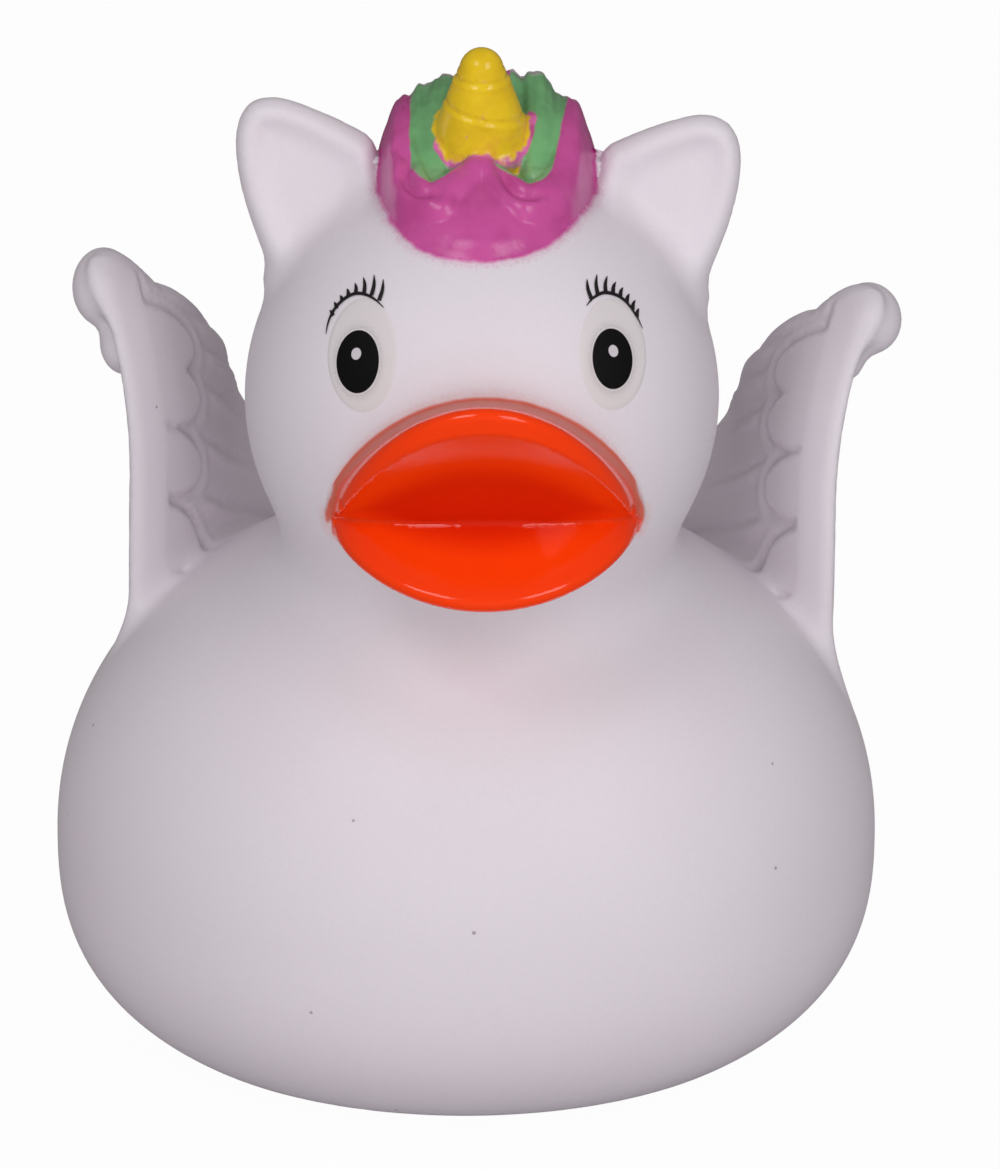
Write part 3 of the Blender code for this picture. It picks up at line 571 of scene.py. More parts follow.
def mane_height(x, s, lines):
    """How far the mane stands over the head, from its edge, its locks and its creases."""
    edge = outline_gap(x, s, lines["fringe"])
    hollow = outline_gap(x, s, lines["hollow"])
    depth = np.maximum(-edge, 0.0)
    outside = 1.2 * ramp(0.0, 1.0, edge)
    crest = 1.0 - ramp(-8.0, 6.0, s)
    over_top = 1.0 - ramp(8.0, 24.0, -s)
    height = FRINGE_RISE * (1.0 - np.exp(-depth / 2.6)) - outside
    height = height + crest * (0.6 + 2.6 * over_top) * ramp(0.0, 4.0, -edge)
    height = height - HOLLOW_DROP * (1.0 - crest) * (1.0 - ramp(-0.45, 0.35, hollow))
    for lock in lines["locks"]:
        gap, place = line_gap(x, s, lock)
        numbers = np.arange(len(lock))
        width, rise = (np.interp(place * numbers[-1], numbers, lock[:, k]) for k in (2, 3))
        height = smooth_max(height, rise - (gap / width) ** 3 * (0.6 + 0.16 * rise), 0.45)
    for crease in lines["creases"]:
        gap, place = line_gap(x, s, crease)
        fade = np.sin(math.pi * np.clip(place, 0.04, 0.96)) ** 0.5
        height = height - CREASE_DEPTH * np.exp(-((gap / CREASE_HALF_WIDTH) ** 2)) * fade
    strands = 0.10 * np.sin(x * 5.2 + 0.4 * np.sin(s * 0.5))
    strands += 0.05 * np.sin(x * 9.1 + 1.7 + 0.3 * np.sin(s * 0.8))
    height = height + strands * ramp(0.5, 2.0, -edge) * (1.0 - ramp(-3.0, 2.0, s))
    steep = 7.2 * (1.0 - np.exp(-(depth + 0.15))) - 1.0 + 1.2 * np.maximum(depth - 1.3, 0.0)
    front = ramp(6.0, 10.5, s)
    limit = steep * (1.0 - front) + (0.05 + 0.85 * depth) * front - outside
    return smooth_min(height, limit, 0.6)


def mane_form(p, lines):
    """The locks and folds over the head, and the raised collar in front of the horn."""
    x, s = head_map(p)
    reach = head_reach(p)
    hair = 0.75 * (reach - mane_height(x, s, lines))
    gap, place = line_gap(x, s, lines["collar"])
    middle = COLLAR_RISE + 0.9 * ramp(0.5, 1.0, place)
    collar = np.hypot(gap, reach - middle) - COLLAR_RADIUS
    return smooth_min(hair, collar, 0.35)


def horn_axis(p):
    """Places along the horn, out from its axis and across, in the horn's own leaning frame."""
    off = p - np.array(HORN)
    cos, sin = math.cos(HORN_LEAN), math.sin(HORN_LEAN)
    along = off[:, 2] * cos - off[:, 1] * sin
    front = off[:, 2] * sin + off[:, 1] * cos
    return along, np.hypot(off[:, 0], front), off[:, 0], front


def horn_form(p):
    """A cone with a round tip and two shallow grooves, the lower one set aslant."""
    along, out, x, front = horn_axis(p)
    size = HORN_CONE_END + HORN_SPREAD * np.minimum(HORN_LENGTH - along, HORN_LENGTH + 1.0)
    size = size + 0.2 * np.sin(math.pi * np.clip((HORN_LENGTH - along) / HORN_LENGTH, 0.0, 1.0))
    for share, slant in HORN_GROOVES:
        step = along - (share - slant * x) * HORN_LENGTH + 0.16 * front
        size = size - 0.24 * np.exp(-((step / 0.2) ** 2)) + 0.08 * np.exp(-(((step + 0.42) / 0.26) ** 2))
    above = along - (HORN_LENGTH - HORN_TIP_RADIUS)
    tip = np.sqrt(out**2 + above**2) - HORN_TIP_RADIUS
    side = (out - size) * 0.95
    share = ramp(-0.2, 0.5, above)
    return np.maximum(side * (1.0 - share) + tip * share, -along - HORN_ROOT)


def form_lines():
    """The outlines and lines of the ears, wings and mane, ready to measure from."""
    return {
        "ear": smooth_line(EAR_OUTLINE, True),
        "wing": wing_outline(),
        "fringe": smooth_line(flat(FRINGE), True),
        "hollow": smooth_line(flat(HOLLOW), True),
        "locks": [smooth_line(flat(lock)) for lock in LOCKS + LOBES],
        "creases": [smooth_line(flat(crease)) for crease in CREASES],
        "collar": smooth_line(flat(COLLAR)),
        "middle": smooth_line(flat(MIDDLE_LOCK)),
    }


def within(p, low, high):
    return np.all((p > np.array(low)) & (p < np.array(high)), axis=1)


def base_cut(p):
    """The recess in the base, the hole for the squeaker and the pocket round the squeaker's top."""
    out, up = np.hypot(p[:, 0], p[:, 1]), p[:, 2]
    recess = smooth_max(out - RECESS_RADIUS, up - RECESS_DEPTH, 0.4)
    hole = np.maximum(out - HOLE_RADIUS, up - SKIN_FLOOR - 1.0)
    pocket = np.maximum(np.maximum(out - POCKET_RADIUS, SKIN_FLOOR - up), up - POCKET_TOP)
    return np.minimum(np.minimum(recess, hole), pocket)


def skin_gap(p, s, lines):
    """About how far each place lies outside the painted duck's skin, negative inside it."""
    head = np.sqrt(((p - HEAD) ** 2).sum(1)) - s["head_radius"]
    gap = smooth_min(body_form(p, s), head, NECK_BLEND)
    # Each form, the lowest and highest corner of the block that it lies in, and its blend
    forms = (
        (tail_form, (-26, 10, 10), (24, 48, 50), 5.0),
        (lambda q: wing_form(q, 1.0, lines["wing"]), (10, -10, 22), (46, 38, 76), 2.6),
        (lambda q: wing_form(q, -1.0, lines["wing"]), (-46, -10, 22), (-10, 38, 76), 2.6),
        (lambda q: ear_form(q, 1.0, lines["ear"]), (4, -22, 68), (30, -1, 94), 2.6),
        (lambda q: ear_form(q, -1.0, lines["ear"]), (-30, -22, 68), (-4, -1, 94), 2.6),
        (lambda q: mane_form(q, lines), (-14, -32, 50), (15, 16, 94), 0.5),
        (horn_form, (-8, -26, 78), (9, -4, 100), 0.35),
        (bill_form, (-16, -46, 42), (17, -14, 76), 0.45),
    )
    for form, low, high, blend in forms:
        here = within(p, low, high)
        if here.any():
            gap[here] = smooth_min(gap[here], form(p[here]), blend)
    gap = smooth_max(gap, -p[:, 2], BASE_ROUNDING)
    low = p[:, 2] < POCKET_TOP + 3.0
    if low.any():
        gap[low] = smooth_max(gap[low], -base_cut(p[low]), 0.5)
    return gap


def slope(p, s, lines, step=0.04):
    """How the gap to the skin grows along each axis."""
    pairs = [(skin_gap(p + shift, s, lines), skin_gap(p - shift, s, lines)) for shift in step * np.eye(3)]
    return np.stack([(ahead - behind) / (2.0 * step) for ahead, behind in pairs], 1)


def onto_skin(p, s, lines, rounds, step=0.02, most=0.5):
    """Places moved straight onto the skin."""
    for _ in range(rounds):
        gap = skin_gap(p, s, lines)
        away = np.stack([(skin_gap(p + shift, s, lines) - gap) / step for shift in step * np.eye(3)], 1)
        move = gap[:, None] * away / np.maximum((away**2).sum(1), 0.05)[:, None]
        size = np.sqrt((move**2).sum(1))
        p = p - move * np.minimum(1.0, most / np.maximum(size, 1e-9))[:, None]
    return p


def edge_limit(p):
    """The longest edge that the skin's mesh keeps at each place."""
    limit = np.full(len(p), COARSE_EDGE)
    for low, high, size in FINE_ZONES:
        limit[within(p, low, high)] = size
    x, s = head_map(p)
    near = head_reach(p) > -0.4
    limit[near & (np.abs(x) < 11.6) & (s > -14) & (s < 16.2) & (p[:, 2] > HEAD[2])] = MANE_EDGE
    limit[near & (np.abs(x) < 11.0) & (s <= -14) & (s > -43)] = NAPE_EDGE
    low, high, size = HORN_ZONE
    limit[within(p, low, high)] = size
    return limit


def edges_of(faces):
    """Each edge once, and the numbers of the three edges of each triangle."""
    ends = np.sort(np.concatenate([faces[:, [0, 1]], faces[:, [1, 2]], faces[:, [2, 0]]]), axis=1)
    key = ends[:, 0].astype(np.int64) * (faces.max() + 1) + ends[:, 1]
    _, first, back = np.unique(key, return_index=True, return_inverse=True)
    return ends[first], back.reshape(3, -1).T


def split_long(points, faces, limit_of):
    """Each triangle is cut through the middles of its edges that are too long."""
    edges, of_face = edges_of(faces)
    a, b = points[edges[:, 0]], points[edges[:, 1]]
    middle = (a + b) / 2.0
    cut = np.sqrt(((a - b) ** 2).sum(1)) > 1.3 * limit_of(middle)
    number = np.full(len(edges), -1)
    number[cut] = len(points) + np.arange(cut.sum())
    middles = number[of_face]
    marks = (middles >= 0).sum(1)
    made = [faces[marks == 0]]
    for turn in range(3):
        order = [(turn + k) % 3 for k in range(3)]
        six = np.hstack([faces[:, order], middles[:, order]])
        made += [six[(marks == 1) & (six[:, 3] >= 0)][:, corners] for corners in ONE_CUT]
        made += [six[(marks == 2) & (six[:, 5] < 0)][:, corners] for corners in TWO_CUTS]
    six = np.hstack([faces, middles])[marks == 3]
    made += [six[:, corners] for corners in THREE_CUTS]
    return np.vstack([points, middle[cut]]), np.concatenate(made), int(cut.sum())


def relax(points, faces, share):
    """Moves each point towards the middle of its neighbours, along the skin only."""
    edges, _ = edges_of(faces)
    total = np.zeros_like(points)
    count = np.bincount(edges.ravel(), minlength=len(points))
    for axis in range(3):
        total[:, axis] = np.bincount(edges[:, 0], points[edges[:, 1], axis], len(points))
        total[:, axis] += np.bincount(edges[:, 1], points[edges[:, 0], axis], len(points))
    move = total / np.maximum(count, 1)[:, None] - points
    normal = point_normals(points, faces)
    move -= normal * (move * normal).sum(1)[:, None]
    return points + share * move


def point_normals(points, faces):
    """The way that each point faces, from the triangles round it."""
    a, b, c = (points[faces[:, k]] for k in range(3))
    cross = np.cross(b - a, c - a)
    made = np.zeros_like(points)
    for axis in range(3):
        for k in range(3):
            made[:, axis] += np.bincount(faces[:, k], cross[:, axis], len(points))
    return made / np.maximum(np.sqrt((made**2).sum(1)), 1e-12)[:, None]


def skin_mesh(s, lines):
    """Points and triangles of the skin: a coarse shape from a block of samples, then refined."""
    steps = [np.arange(low, high, GRID_STEP) for low, high in zip(GRID_LOW, GRID_HIGH)]
    block = np.stack(np.meshgrid(*steps, indexing="ij"), -1).reshape(-1, 3)
    gap = skin_gap(block, s, lines).reshape([len(step) for step in steps])
    grid = openvdb.FloatGrid(background=GRID_BAND)
    grid.copyFromArray(np.clip(gap, -GRID_BAND, GRID_BAND).astype(np.float32))
    points, quads = grid.convertToQuads(isovalue=0.0)
    points = points.astype(float) * GRID_STEP + np.array(GRID_LOW)
    faces = np.concatenate([quads[:, [0, 1, 2]], quads[:, [0, 2, 3]]]).astype(np.int64)
    if np.linalg.det(points[faces]).sum() < 0:
        faces = faces[:, ::-1]
    points = onto_skin(points, s, lines, 3)
    points = onto_skin(relax(points, faces, 0.5), s, lines, 2)
    for _ in range(5):
        points, faces, cuts = split_long(points, faces, edge_limit)
        points = onto_skin(points, s, lines, 2)
        points = onto_skin(relax(points, faces, 0.45), s, lines, 1)
        if cuts < 50:
            break
    for _ in range(2):
        points = onto_skin(relax(points, faces, 0.4), s, lines, 1)
    return onto_skin(points, s, lines, 2), faces


def skin_normals(points, faces, s, lines):
    """Normals from the slope of the forms or, in sharp folds, from the triangles."""
    ways = slope(points, s, lines)
    ways /= np.maximum(np.sqrt((ways**2).sum(1)), 1e-9)[:, None]
    facing = point_normals(points, faces)
    close = ((ways * facing).sum(1) > FOLD_COSINE)[:, None]
    return np.where(close, ways, facing)


def bill_edge(p):
    """Distance from the edge of the orange, which ends just past the bill and rounds off at its corners."""
    share = (p[:, 0] - BILL[0]) / BILL_HALF_WIDTH
    reach_out = 0.55 - 0.3 * np.sqrt(np.maximum(1.0 - share**2, 0.0))
    rise = p[:, 2] - BILL[2] - 0.7
    corner = BILL_HALF_WIDTH * (np.abs(share) - 1.0) + 0.9 * (1.0 - np.exp(-(rise**2) / 5.2))
    return np.maximum(bill_form(p) - reach_out, corner)


def paint_masks(points, lines):
    """For each point, its distance in millimetres from the edge of each sprayed area, negative inside."""
    x, s = head_map(points)
    reach = head_reach(points)
    near_bill = within(points, (-18, -48, 40), (19, -12, 78))
    near_horn = within(points, (-9, -27, 78), (10, -3, 100))
    near_mane = (points[:, 2] > HEAD[2] - 22.0) & (reach > -1.5) & (reach < 12.5) & (np.abs(x) < 16.0)
    bill, horn, mane = points[near_bill], points[near_horn], points[near_mane]
    across, arc = x[near_mane], s[near_mane]
    fringe = np.maximum(outline_gap(across, arc, lines["fringe"]), mane_form(mane, lines) - 0.45)
    light = np.minimum(
        line_gap(across, arc, lines["collar"])[0], line_gap(across, arc, lines["middle"])[0] - 0.35
    )
    masks = {"head_arc": s}
    for name, near, gap in (
        ("bill_edge", near_bill, bill_edge(bill)),
        ("bill_rim", near_bill, bill_face(bill)),
        ("fringe_edge", near_mane, fringe),
        ("band_edge", near_mane, outline_gap(across, arc, lines["hollow"])),
        ("collar_edge", near_mane, light),
        ("horn_edge", near_horn, horn_form(horn) + 2.0 * np.maximum(-0.4 - horn_axis(horn)[0], 0.0)),
    ):
        masks[name] = np.full(len(points), UNPAINTED)
        masks[name][near] = gap
    return masks


def mesh_object(name, points, faces, normals=None, values=None, material=None):
    """A mesh piece in metres from points in millimetres."""
    mesh = bpy.data.meshes.new(name)
    mesh.from_pydata((points * MM).tolist(), [], faces.tolist())
    mesh.shade_smooth()
    for key, numbers in (values or {}).items():
        mesh.attributes.new(key, "FLOAT", "POINT").data.foreach_set("value", numbers.astype(np.float32))
    if normals is not None:
        mesh.normals_split_custom_set_from_vertices(normals.tolist())
    if material:
        mesh.materials.append(material)
    made = bpy.data.objects.new(name, mesh)
    bpy.context.scene.collection.objects.link(made)
    return made


class Nodes:
    """Short ways to add and join the nodes of a tree."""

    def __init__(self, tree):
        self.tree = tree

    def join(self, value, socket):
        if isinstance(value, bpy.types.NodeSocket):
            self.tree.links.new(value, socket)
        else:
            socket.default_value = value

    def add(self, kind, inputs=None, **settings):
        """A new node, with its settings made and its inputs linked or set."""
        node = self.tree.nodes.new(kind)
        for key, value in settings.items():
            setattr(node, key, value)
        for key, value in (inputs or {}).items():
            self.join(value, node.inputs[key])
        return node

    def maths(self, operation, *values):
        return self.add("ShaderNodeMath", dict(enumerate(values)), operation=operation).outputs[0]

    def plus(self, a, b):
        return self.maths("ADD", a, b)

    def minus(self, a, b):
        return self.maths("SUBTRACT", a, b)

    def times(self, a, b):
        return self.maths("MULTIPLY", a, b)

    def most(self, a, b):
        return self.maths("MAXIMUM", a, b)

    def vector(self, operation, a, b=None, scale=None):
        given = {key: value for key, value in ((0, a), (1, b), ("Scale", scale)) if value is not None}
        return self.add("ShaderNodeVectorMath", given, operation=operation).outputs


class Finish(Nodes):
    """Short ways to add and join the nodes of one material."""

    def __init__(self, name):
        self.material = bpy.data.materials.new(name)
        self.material.use_nodes = True
        super().__init__(self.material.node_tree)
        self.shader = self.tree.nodes["Principled BSDF"]

    def surface(self, **sockets):
        """Sets or links the shader's inputs, named with _ for each space."""
        for name, value in sockets.items():
            self.join(value, self.shader.inputs[name.replace("_", " ")])

    def ramp(self, value, low, high):
        inputs = {0: value, 1: low, 2: high, 3: 0.0, 4: 1.0}
        return self.add("ShaderNodeMapRange", inputs, interpolation_type="SMOOTHSTEP").outputs[0]

    def mix(self, share, a, b):
        return self.add("ShaderNodeMix", {0: share, 6: a, 7: b}, data_type="RGBA").outputs[2]

    def blend(self, share, a, b):
        return self.add("ShaderNodeMix", {0: share, 2: a, 3: b}, data_type="FLOAT").outputs[0]

    def attribute(self, name):
        return self.add("ShaderNodeAttribute", attribute_name=name).outputs["Fac"]

    def place(self):
        return self.add("ShaderNodeTexCoord").outputs["Object"]

    def noise(self, scale, detail=3.0, roughness=0.5, where=None):
        where = self.place() if where is None else where
        inputs = {"Vector": where, "Scale": scale, "Detail": detail, "Roughness": roughness}
        return self.add("ShaderNodeTexNoise", inputs).outputs["Fac"]

    def specks(self, scale, size):
        """1 inside round dots and 0 elsewhere, with a random number for each dot."""
        inputs = {"Vector": self.place(), "Scale": scale}
        dots = self.add("ShaderNodeTexVoronoi", inputs, feature="F1").outputs
        parts = self.add("ShaderNodeSeparateColor", {0: dots["Color"]})
        return self.ramp(dots["Distance"], size, size * 0.6), parts.outputs[0]

    def bump(self, height, distance, strength=1.0, normal=None):
        inputs = {"Strength": strength, "Distance": distance, "Height": height}
        if normal is not None:
            inputs["Normal"] = normal
        return self.add("ShaderNodeBump", inputs).outputs[0]


def srgb(red, green, blue):
    """A colour given as 0 to 255 screen values, as a shader takes it."""
    shares = [value / 255.0 for value in (red, green, blue)]
    linear = [v / 12.92 if v <= 0.04045 else ((v + 0.055) / 1.055) ** 2.4 for v in shares]
    return (*linear, 1.0)


def darker(colour, share):
    return (colour[0] * share, colour[1] * share, colour[2] * share, 1.0)


def bare_vinyl(n, look, fine):
    """White vinyl with faint clouds and mottling, and sparse specks of dust."""
    clouds = n.ramp(n.noise(60.0, 2.0), 0.35, 0.65)
    tone = n.mix(clouds, tuple(look.vinyl), darker(look.vinyl, 0.985))
    tone = n.mix(n.times(n.ramp(fine, 0.42, 0.62), 0.06), tone, darker(look.vinyl, 0.80))
    near, pick = n.specks(150.0, 0.034)
    dust = n.times(near, n.maths("GREATER_THAN", pick, 0.35))
    return n.mix(n.times(dust, 0.6), tone, srgb(112, 102, 108))


def mane_paint(n, look, under, wander, grain):
    """Pink with a misty edge, worn over the crest, then the green band and the light pink collar."""
    edge = n.plus(n.attribute("fringe_edge"), n.minus(wander, 0.3))
    pink = n.mix(n.ramp(n.noise(240.0), 0.35, 0.68), tuple(look.pink), tuple(look.deep_pink))
    mist = n.ramp(n.plus(edge, grain), 0.8, -0.35)
    ragged = n.plus(n.attribute("head_arc"), n.times(wander, 7.0))
    worn = n.times(n.ramp(ragged, -4.2, -5.8), n.ramp(ragged, -9.0, -6.6))
    cover = n.most(n.times(mist, 0.42), n.ramp(edge, 0.30, -0.30))
    cover = n.times(cover, n.minus(1.0, n.times(worn, 0.8)))
    colour = n.mix(cover, under, pink)

    band = n.ramp(n.plus(n.attribute("band_edge"), n.times(wander, 0.7)), 0.10, -0.16)
    green = n.mix(n.ramp(n.noise(300.0), 0.35, 0.65), tuple(look.green), darker(look.green, 0.78))
    green = n.mix(n.times(n.ramp(n.attribute("head_arc"), 3.6, 6.4), 0.55), green, srgb(150, 186, 138))
    scuffed = n.times(n.ramp(ragged, -3.6, -5.6), n.ramp(ragged, -9.0, -6.6))
    green = n.mix(n.times(scuffed, 0.75), green, srgb(196, 200, 192))
    colour = n.mix(n.times(band, cover), colour, green)

    collar = n.ramp(n.plus(n.attribute("collar_edge"), n.times(wander, 0.7)), 1.05, 0.85)
    light = n.mix(n.ramp(n.noise(500.0), 0.4, 0.62), tuple(look.light_pink), srgb(188, 84, 146))
    return n.mix(collar, colour, light), cover


def horn_paint(n, look, under, wander):
    """Yellow over the horn and a little past its foot, with orange settled low on it."""
    yellow = n.mix(n.ramp(n.noise(420.0), 0.35, 0.7), tuple(look.yellow), srgb(228, 190, 30))
    height = n.add("ShaderNodeSeparateXYZ", {0: n.place()}).outputs[2]
    low = n.times(n.ramp(height, 0.0895, 0.0862), n.ramp(n.noise(800.0), 0.4, 0.7))
    yellow = n.mix(n.times(low, 0.6), yellow, srgb(222, 150, 60))
    cover = n.ramp(n.plus(n.attribute("horn_edge"), n.times(wander, 1.8)), 0.42, 0.12)
    return n.mix(cover, under, yellow), cover


def bill_paint(n, look, under, wander, grain):
    """Orange with a misty edge, glossy in the mouth with painted shade as a darker red deep inside it, thin
    and paler on the outside.
    """
    rim = n.attribute("bill_rim")
    edge = n.plus(n.attribute("bill_edge"), n.times(wander, 0.35))
    # Painted shade: the orange turns a darker red deep in the mouth towards the crease, where the upper
    # bill shades it
    orange = n.mix(n.ramp(rim, -2.2, -5.5), tuple(look.bill), srgb(226, 36, 2))
    # Outside the rims the orange is paler and duller: partly thin paint, partly a painted sheen of grazing
    # light
    orange = n.mix(n.ramp(rim, 0.2, 1.5), orange, tuple(look.bill_outside_thin_and_sheen))
    mist = n.ramp(n.plus(edge, grain), 0.95, -0.5)
    solid = n.ramp(edge, 0.2, -0.2)
    colour = n.mix(n.most(n.times(mist, 0.30), solid), under, orange)
    return colour, solid, n.times(solid, n.ramp(rim, 0.6, -0.1))


def painted_vinyl(look):
    """White satin vinyl under sprayed orange, pink, green, light pink and yellow paint."""
    n = Finish("painted_vinyl")
    fine = n.noise(2600.0, 2.0)
    wander = n.times(n.minus(n.noise(900.0), 0.5), 0.5)
    grain = n.times(n.minus(n.noise(4200.0, 1.0), 0.5), 1.1)
    colour = bare_vinyl(n, look, fine)
    colour, mane = mane_paint(n, look, colour, wander, grain)
    colour, horn = horn_paint(n, look, colour, wander)
    colour, bill, mouth = bill_paint(n, look, colour, wander, grain)
    painted = n.most(mane, horn)
    rough = n.blend(n.ramp(fine, 0.3, 0.7), 0.46, 0.54)
    for cover, roughness in ((painted, 0.27), (horn, 0.17), (bill, 0.42), (mouth, 0.10)):
        rough = n.blend(cover, rough, roughness)
    satin = n.bump(fine, 0.00002, 0.5)
    uneven = n.bump(n.times(n.noise(620.0, 2.0), painted), 0.00012, 0.5, satin)
    n.surface(Base_Color=colour, Roughness=rough, Specular_IOR_Level=0.45, Normal=uneven)
    return n.material


def length_property(name, description, default):
    return bpy.props.FloatProperty(name=name, description=description, default=default, unit="LENGTH")


class DuckSizes(bpy.types.PropertyGroup):
    body_half_width: length_property("Body Half Width", "Half the width of the body", BODY_HALF_WIDTH * MM)
    body_rise: length_property("Body Rise", "Height of the body above its widest level", BODY_RISE * MM)
    head_radius: length_property("Head Radius", "Radius of the round head", HEAD_RADIUS * MM)
    ink_height: length_property("Ink Height", "How far the printed eyes stand off the head", 0.00006)
    lash_width: length_property("Lash Width", "Width of a lash at its root", 0.00042)
    lid_width: length_property("Lid Width", "Width of the printed lid line in its middle", 0.0005)


def colour_property(name, description, default):
    return bpy.props.FloatVectorProperty(
        name=name, description=description, default=default, subtype="COLOR", size=4, min=0.0, max=1.0
    )


class DuckLook(bpy.types.PropertyGroup):
    vinyl: colour_property("Vinyl", "Bare white vinyl", srgb(228, 221, 229))
    bill: colour_property("Bill", "Glossy orange inside the bill", srgb(255, 62, 4))
    # Paler orange outside the bill's rims: partly thin paint, partly a painted sheen of grazing light
    bill_outside_thin_and_sheen: colour_property("Bill Outside", "Thin orange on the back of the bill", srgb(222, 104, 84))
    pink: colour_property("Pink", "Pink of the mane", srgb(204, 84, 158))
    deep_pink: colour_property("Deep Pink", "Thicker pink in the folds", srgb(190, 72, 144))
    light_pink: colour_property("Light Pink", "Light pink round the horn", srgb(222, 112, 180))
    green: colour_property("Green", "Green of the mane", srgb(118, 181, 122))
    yellow: colour_property("Yellow", "Yellow of the horn", srgb(238, 202, 34))


def sizes_in_mm():
    """The sizes that the forms are worked out from."""
    held = bpy.context.scene.duck_sizes
    return {key: getattr(held, key) / MM for key in ("body_half_width", "body_rise", "head_radius")}


class DUCK_OT_skin(bpy.types.Operator):
    """Mould and paint the one-piece vinyl skin"""

    bl_idname = "duck.skin"
    bl_label = "Mould Skin"

    def execute(self, context):
        sizes, lines = sizes_in_mm(), form_lines()
        points, faces = skin_mesh(sizes, lines)
        skin = mesh_object(
            "duck_skin",
            points,
            faces,
            normals=skin_normals(points, faces, sizes, lines),
            values=paint_masks(points, lines),
            material=painted_vinyl(context.scene.duck_look),
        )
        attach(skin, "root")
        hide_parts("duck_shell")
        print("skin triangles", len(faces))
        return {"FINISHED"}


def head_point(eye_way, across, up, lift=0.0):
    """A place on the head from a place in the plane that touches it at the middle of an eye."""
    way = Vector(eye_way).normalized()
    right = (Vector((1.0, 0.0, 0.0)) - way * way.x).normalized()
    rise = way.cross(right)
    if rise.z < 0.0:
        rise = -rise
    depth = math.sqrt(max((HEAD_RADIUS + lift) ** 2 - across**2 - up**2, 0.0))
    return Vector(HEAD) + right * across + rise * up + way * depth


def eye_ink(side):
    """The printed eye: off-white oval, speckled grey halo, thin ring, black pupil and a highlight."""
    pupil, glint = EYES[side][2:4]
    n = Finish(f"eye_ink_{side}")
    uv = n.add("ShaderNodeUVMap", uv_map="ink").outputs[0]
    x, y = n.add("ShaderNodeSeparateXYZ", {0: uv}).outputs[:2]

    def oval_distance(centre, radii, turn):
        cos, sin = math.cos(math.radians(turn)), math.sin(math.radians(turn))
        dx, dy = n.minus(x, centre[0]), n.minus(y, centre[1])
        a = n.plus(n.times(dx, cos), n.times(dy, sin))
        b = n.minus(n.times(dy, cos), n.times(dx, sin))
        squares = [n.maths("POWER", n.maths("DIVIDE", v, radius), 2.0) for v, radius in zip((a, b), radii)]
        return n.times(n.minus(n.maths("SQRT", n.plus(*squares)), 1.0), (radii[0] + radii[1]) / 2.0)

    grain = n.noise(9.0, 3.0, 0.6, uv)
    fine = n.noise(22.0, 2.0, 0.5, uv)
    black = oval_distance(*pupil)
    inside = n.ramp(black, 0.02, -0.03)
    colour = n.mix(n.times(n.ramp(fine, 0.35, 0.7), 0.5), srgb(222, 216, 218), srgb(206, 199, 202))
    dots = n.ramp(n.minus(fine, n.times(black, 0.16)), 0.46, 0.56)
    halo = n.times(n.times(dots, n.ramp(black, 1.5, 0.15)), 0.62)
    colour = n.mix(halo, colour, srgb(96, 90, 93))
    ring = n.times(n.ramp(black, -0.02, 0.03), n.ramp(black, 0.17, 0.11))
    colour = n.mix(ring, colour, srgb(212, 206, 208))
    ink = n.mix(n.times(n.ramp(grain, 0.56, 0.72), 0.5), srgb(10, 8, 8), srgb(34, 30, 30))
    colour = n.mix(inside, colour, ink)
    spot = oval_distance(glint, GLINT_RADII, 0.0)
    colour = n.mix(n.ramp(spot, 0.03, -0.03), colour, srgb(206, 200, 206))
    rough = n.blend(inside, 0.46, 0.5)
    n.surface(Base_Color=colour, Roughness=rough, Specular_IOR_Level=0.2, Normal=n.bump(fine, 0.00002, 0.4))
    return n.material


def black_ink():
    n = Finish("black_ink")
    mottle = n.times(n.ramp(n.noise(5200.0, 2.0), 0.5, 0.75), 0.4)
    n.surface(Base_Color=n.mix(mottle, srgb(24, 20, 21), srgb(58, 52, 54)), Roughness=0.42)
    return n.material


def oval_mesh(centre, radii, turn, rings=14, sides=72):
    """Flat points and triangles of a turned oval, in rings round its middle."""
    cos, sin = math.cos(math.radians(turn)), math.sin(math.radians(turn))
    points = [(centre[0], centre[1])]
    for i in range(1, rings + 1):
        for k in range(sides):
            angle = math.tau * k / sides
            a, b = radii[0] * math.cos(angle) * i / rings, radii[1] * math.sin(angle) * i / rings
            points.append((centre[0] + a * cos - b * sin, centre[1] + a * sin + b * cos))
    faces = [(0, 1 + k, 1 + (k + 1) % sides) for k in range(sides)]
    for i in range(rings - 1):
        for k in range(sides):
            a, b = 1 + i * sides + k, 1 + i * sides + (k + 1) % sides
            faces += [(a, a + sides, b), (b, a + sides, b + sides)]
    return points, faces, len(points) - sides


class DUCK_OT_eyes(bpy.types.Operator):
    """Print the two eyes on the head"""

    bl_idname = "duck.eyes"
    bl_label = "Print Eyes"

    def execute(self, context):
        lift = context.scene.duck_sizes.ink_height / MM
        for side, (way, oval, *_) in EYES.items():
            places, faces, edge = oval_mesh(*oval)
            lifts = [lift if i < edge else -EYE_EDGE_SINK for i in range(len(places))]
            points = np.array([tuple(head_point(way, u, v, up)) for (u, v), up in zip(places, lifts)])
            eye = mesh_object(f"eye_{side}", points, np.array(faces), material=eye_ink(side))
            layer = eye.data.uv_layers.new(name="ink")
            for loop in eye.data.loops:
                layer.data[loop.index].uv = places[loop.vertex_index]
            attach(eye, "root")
        return {"FINISHED"}


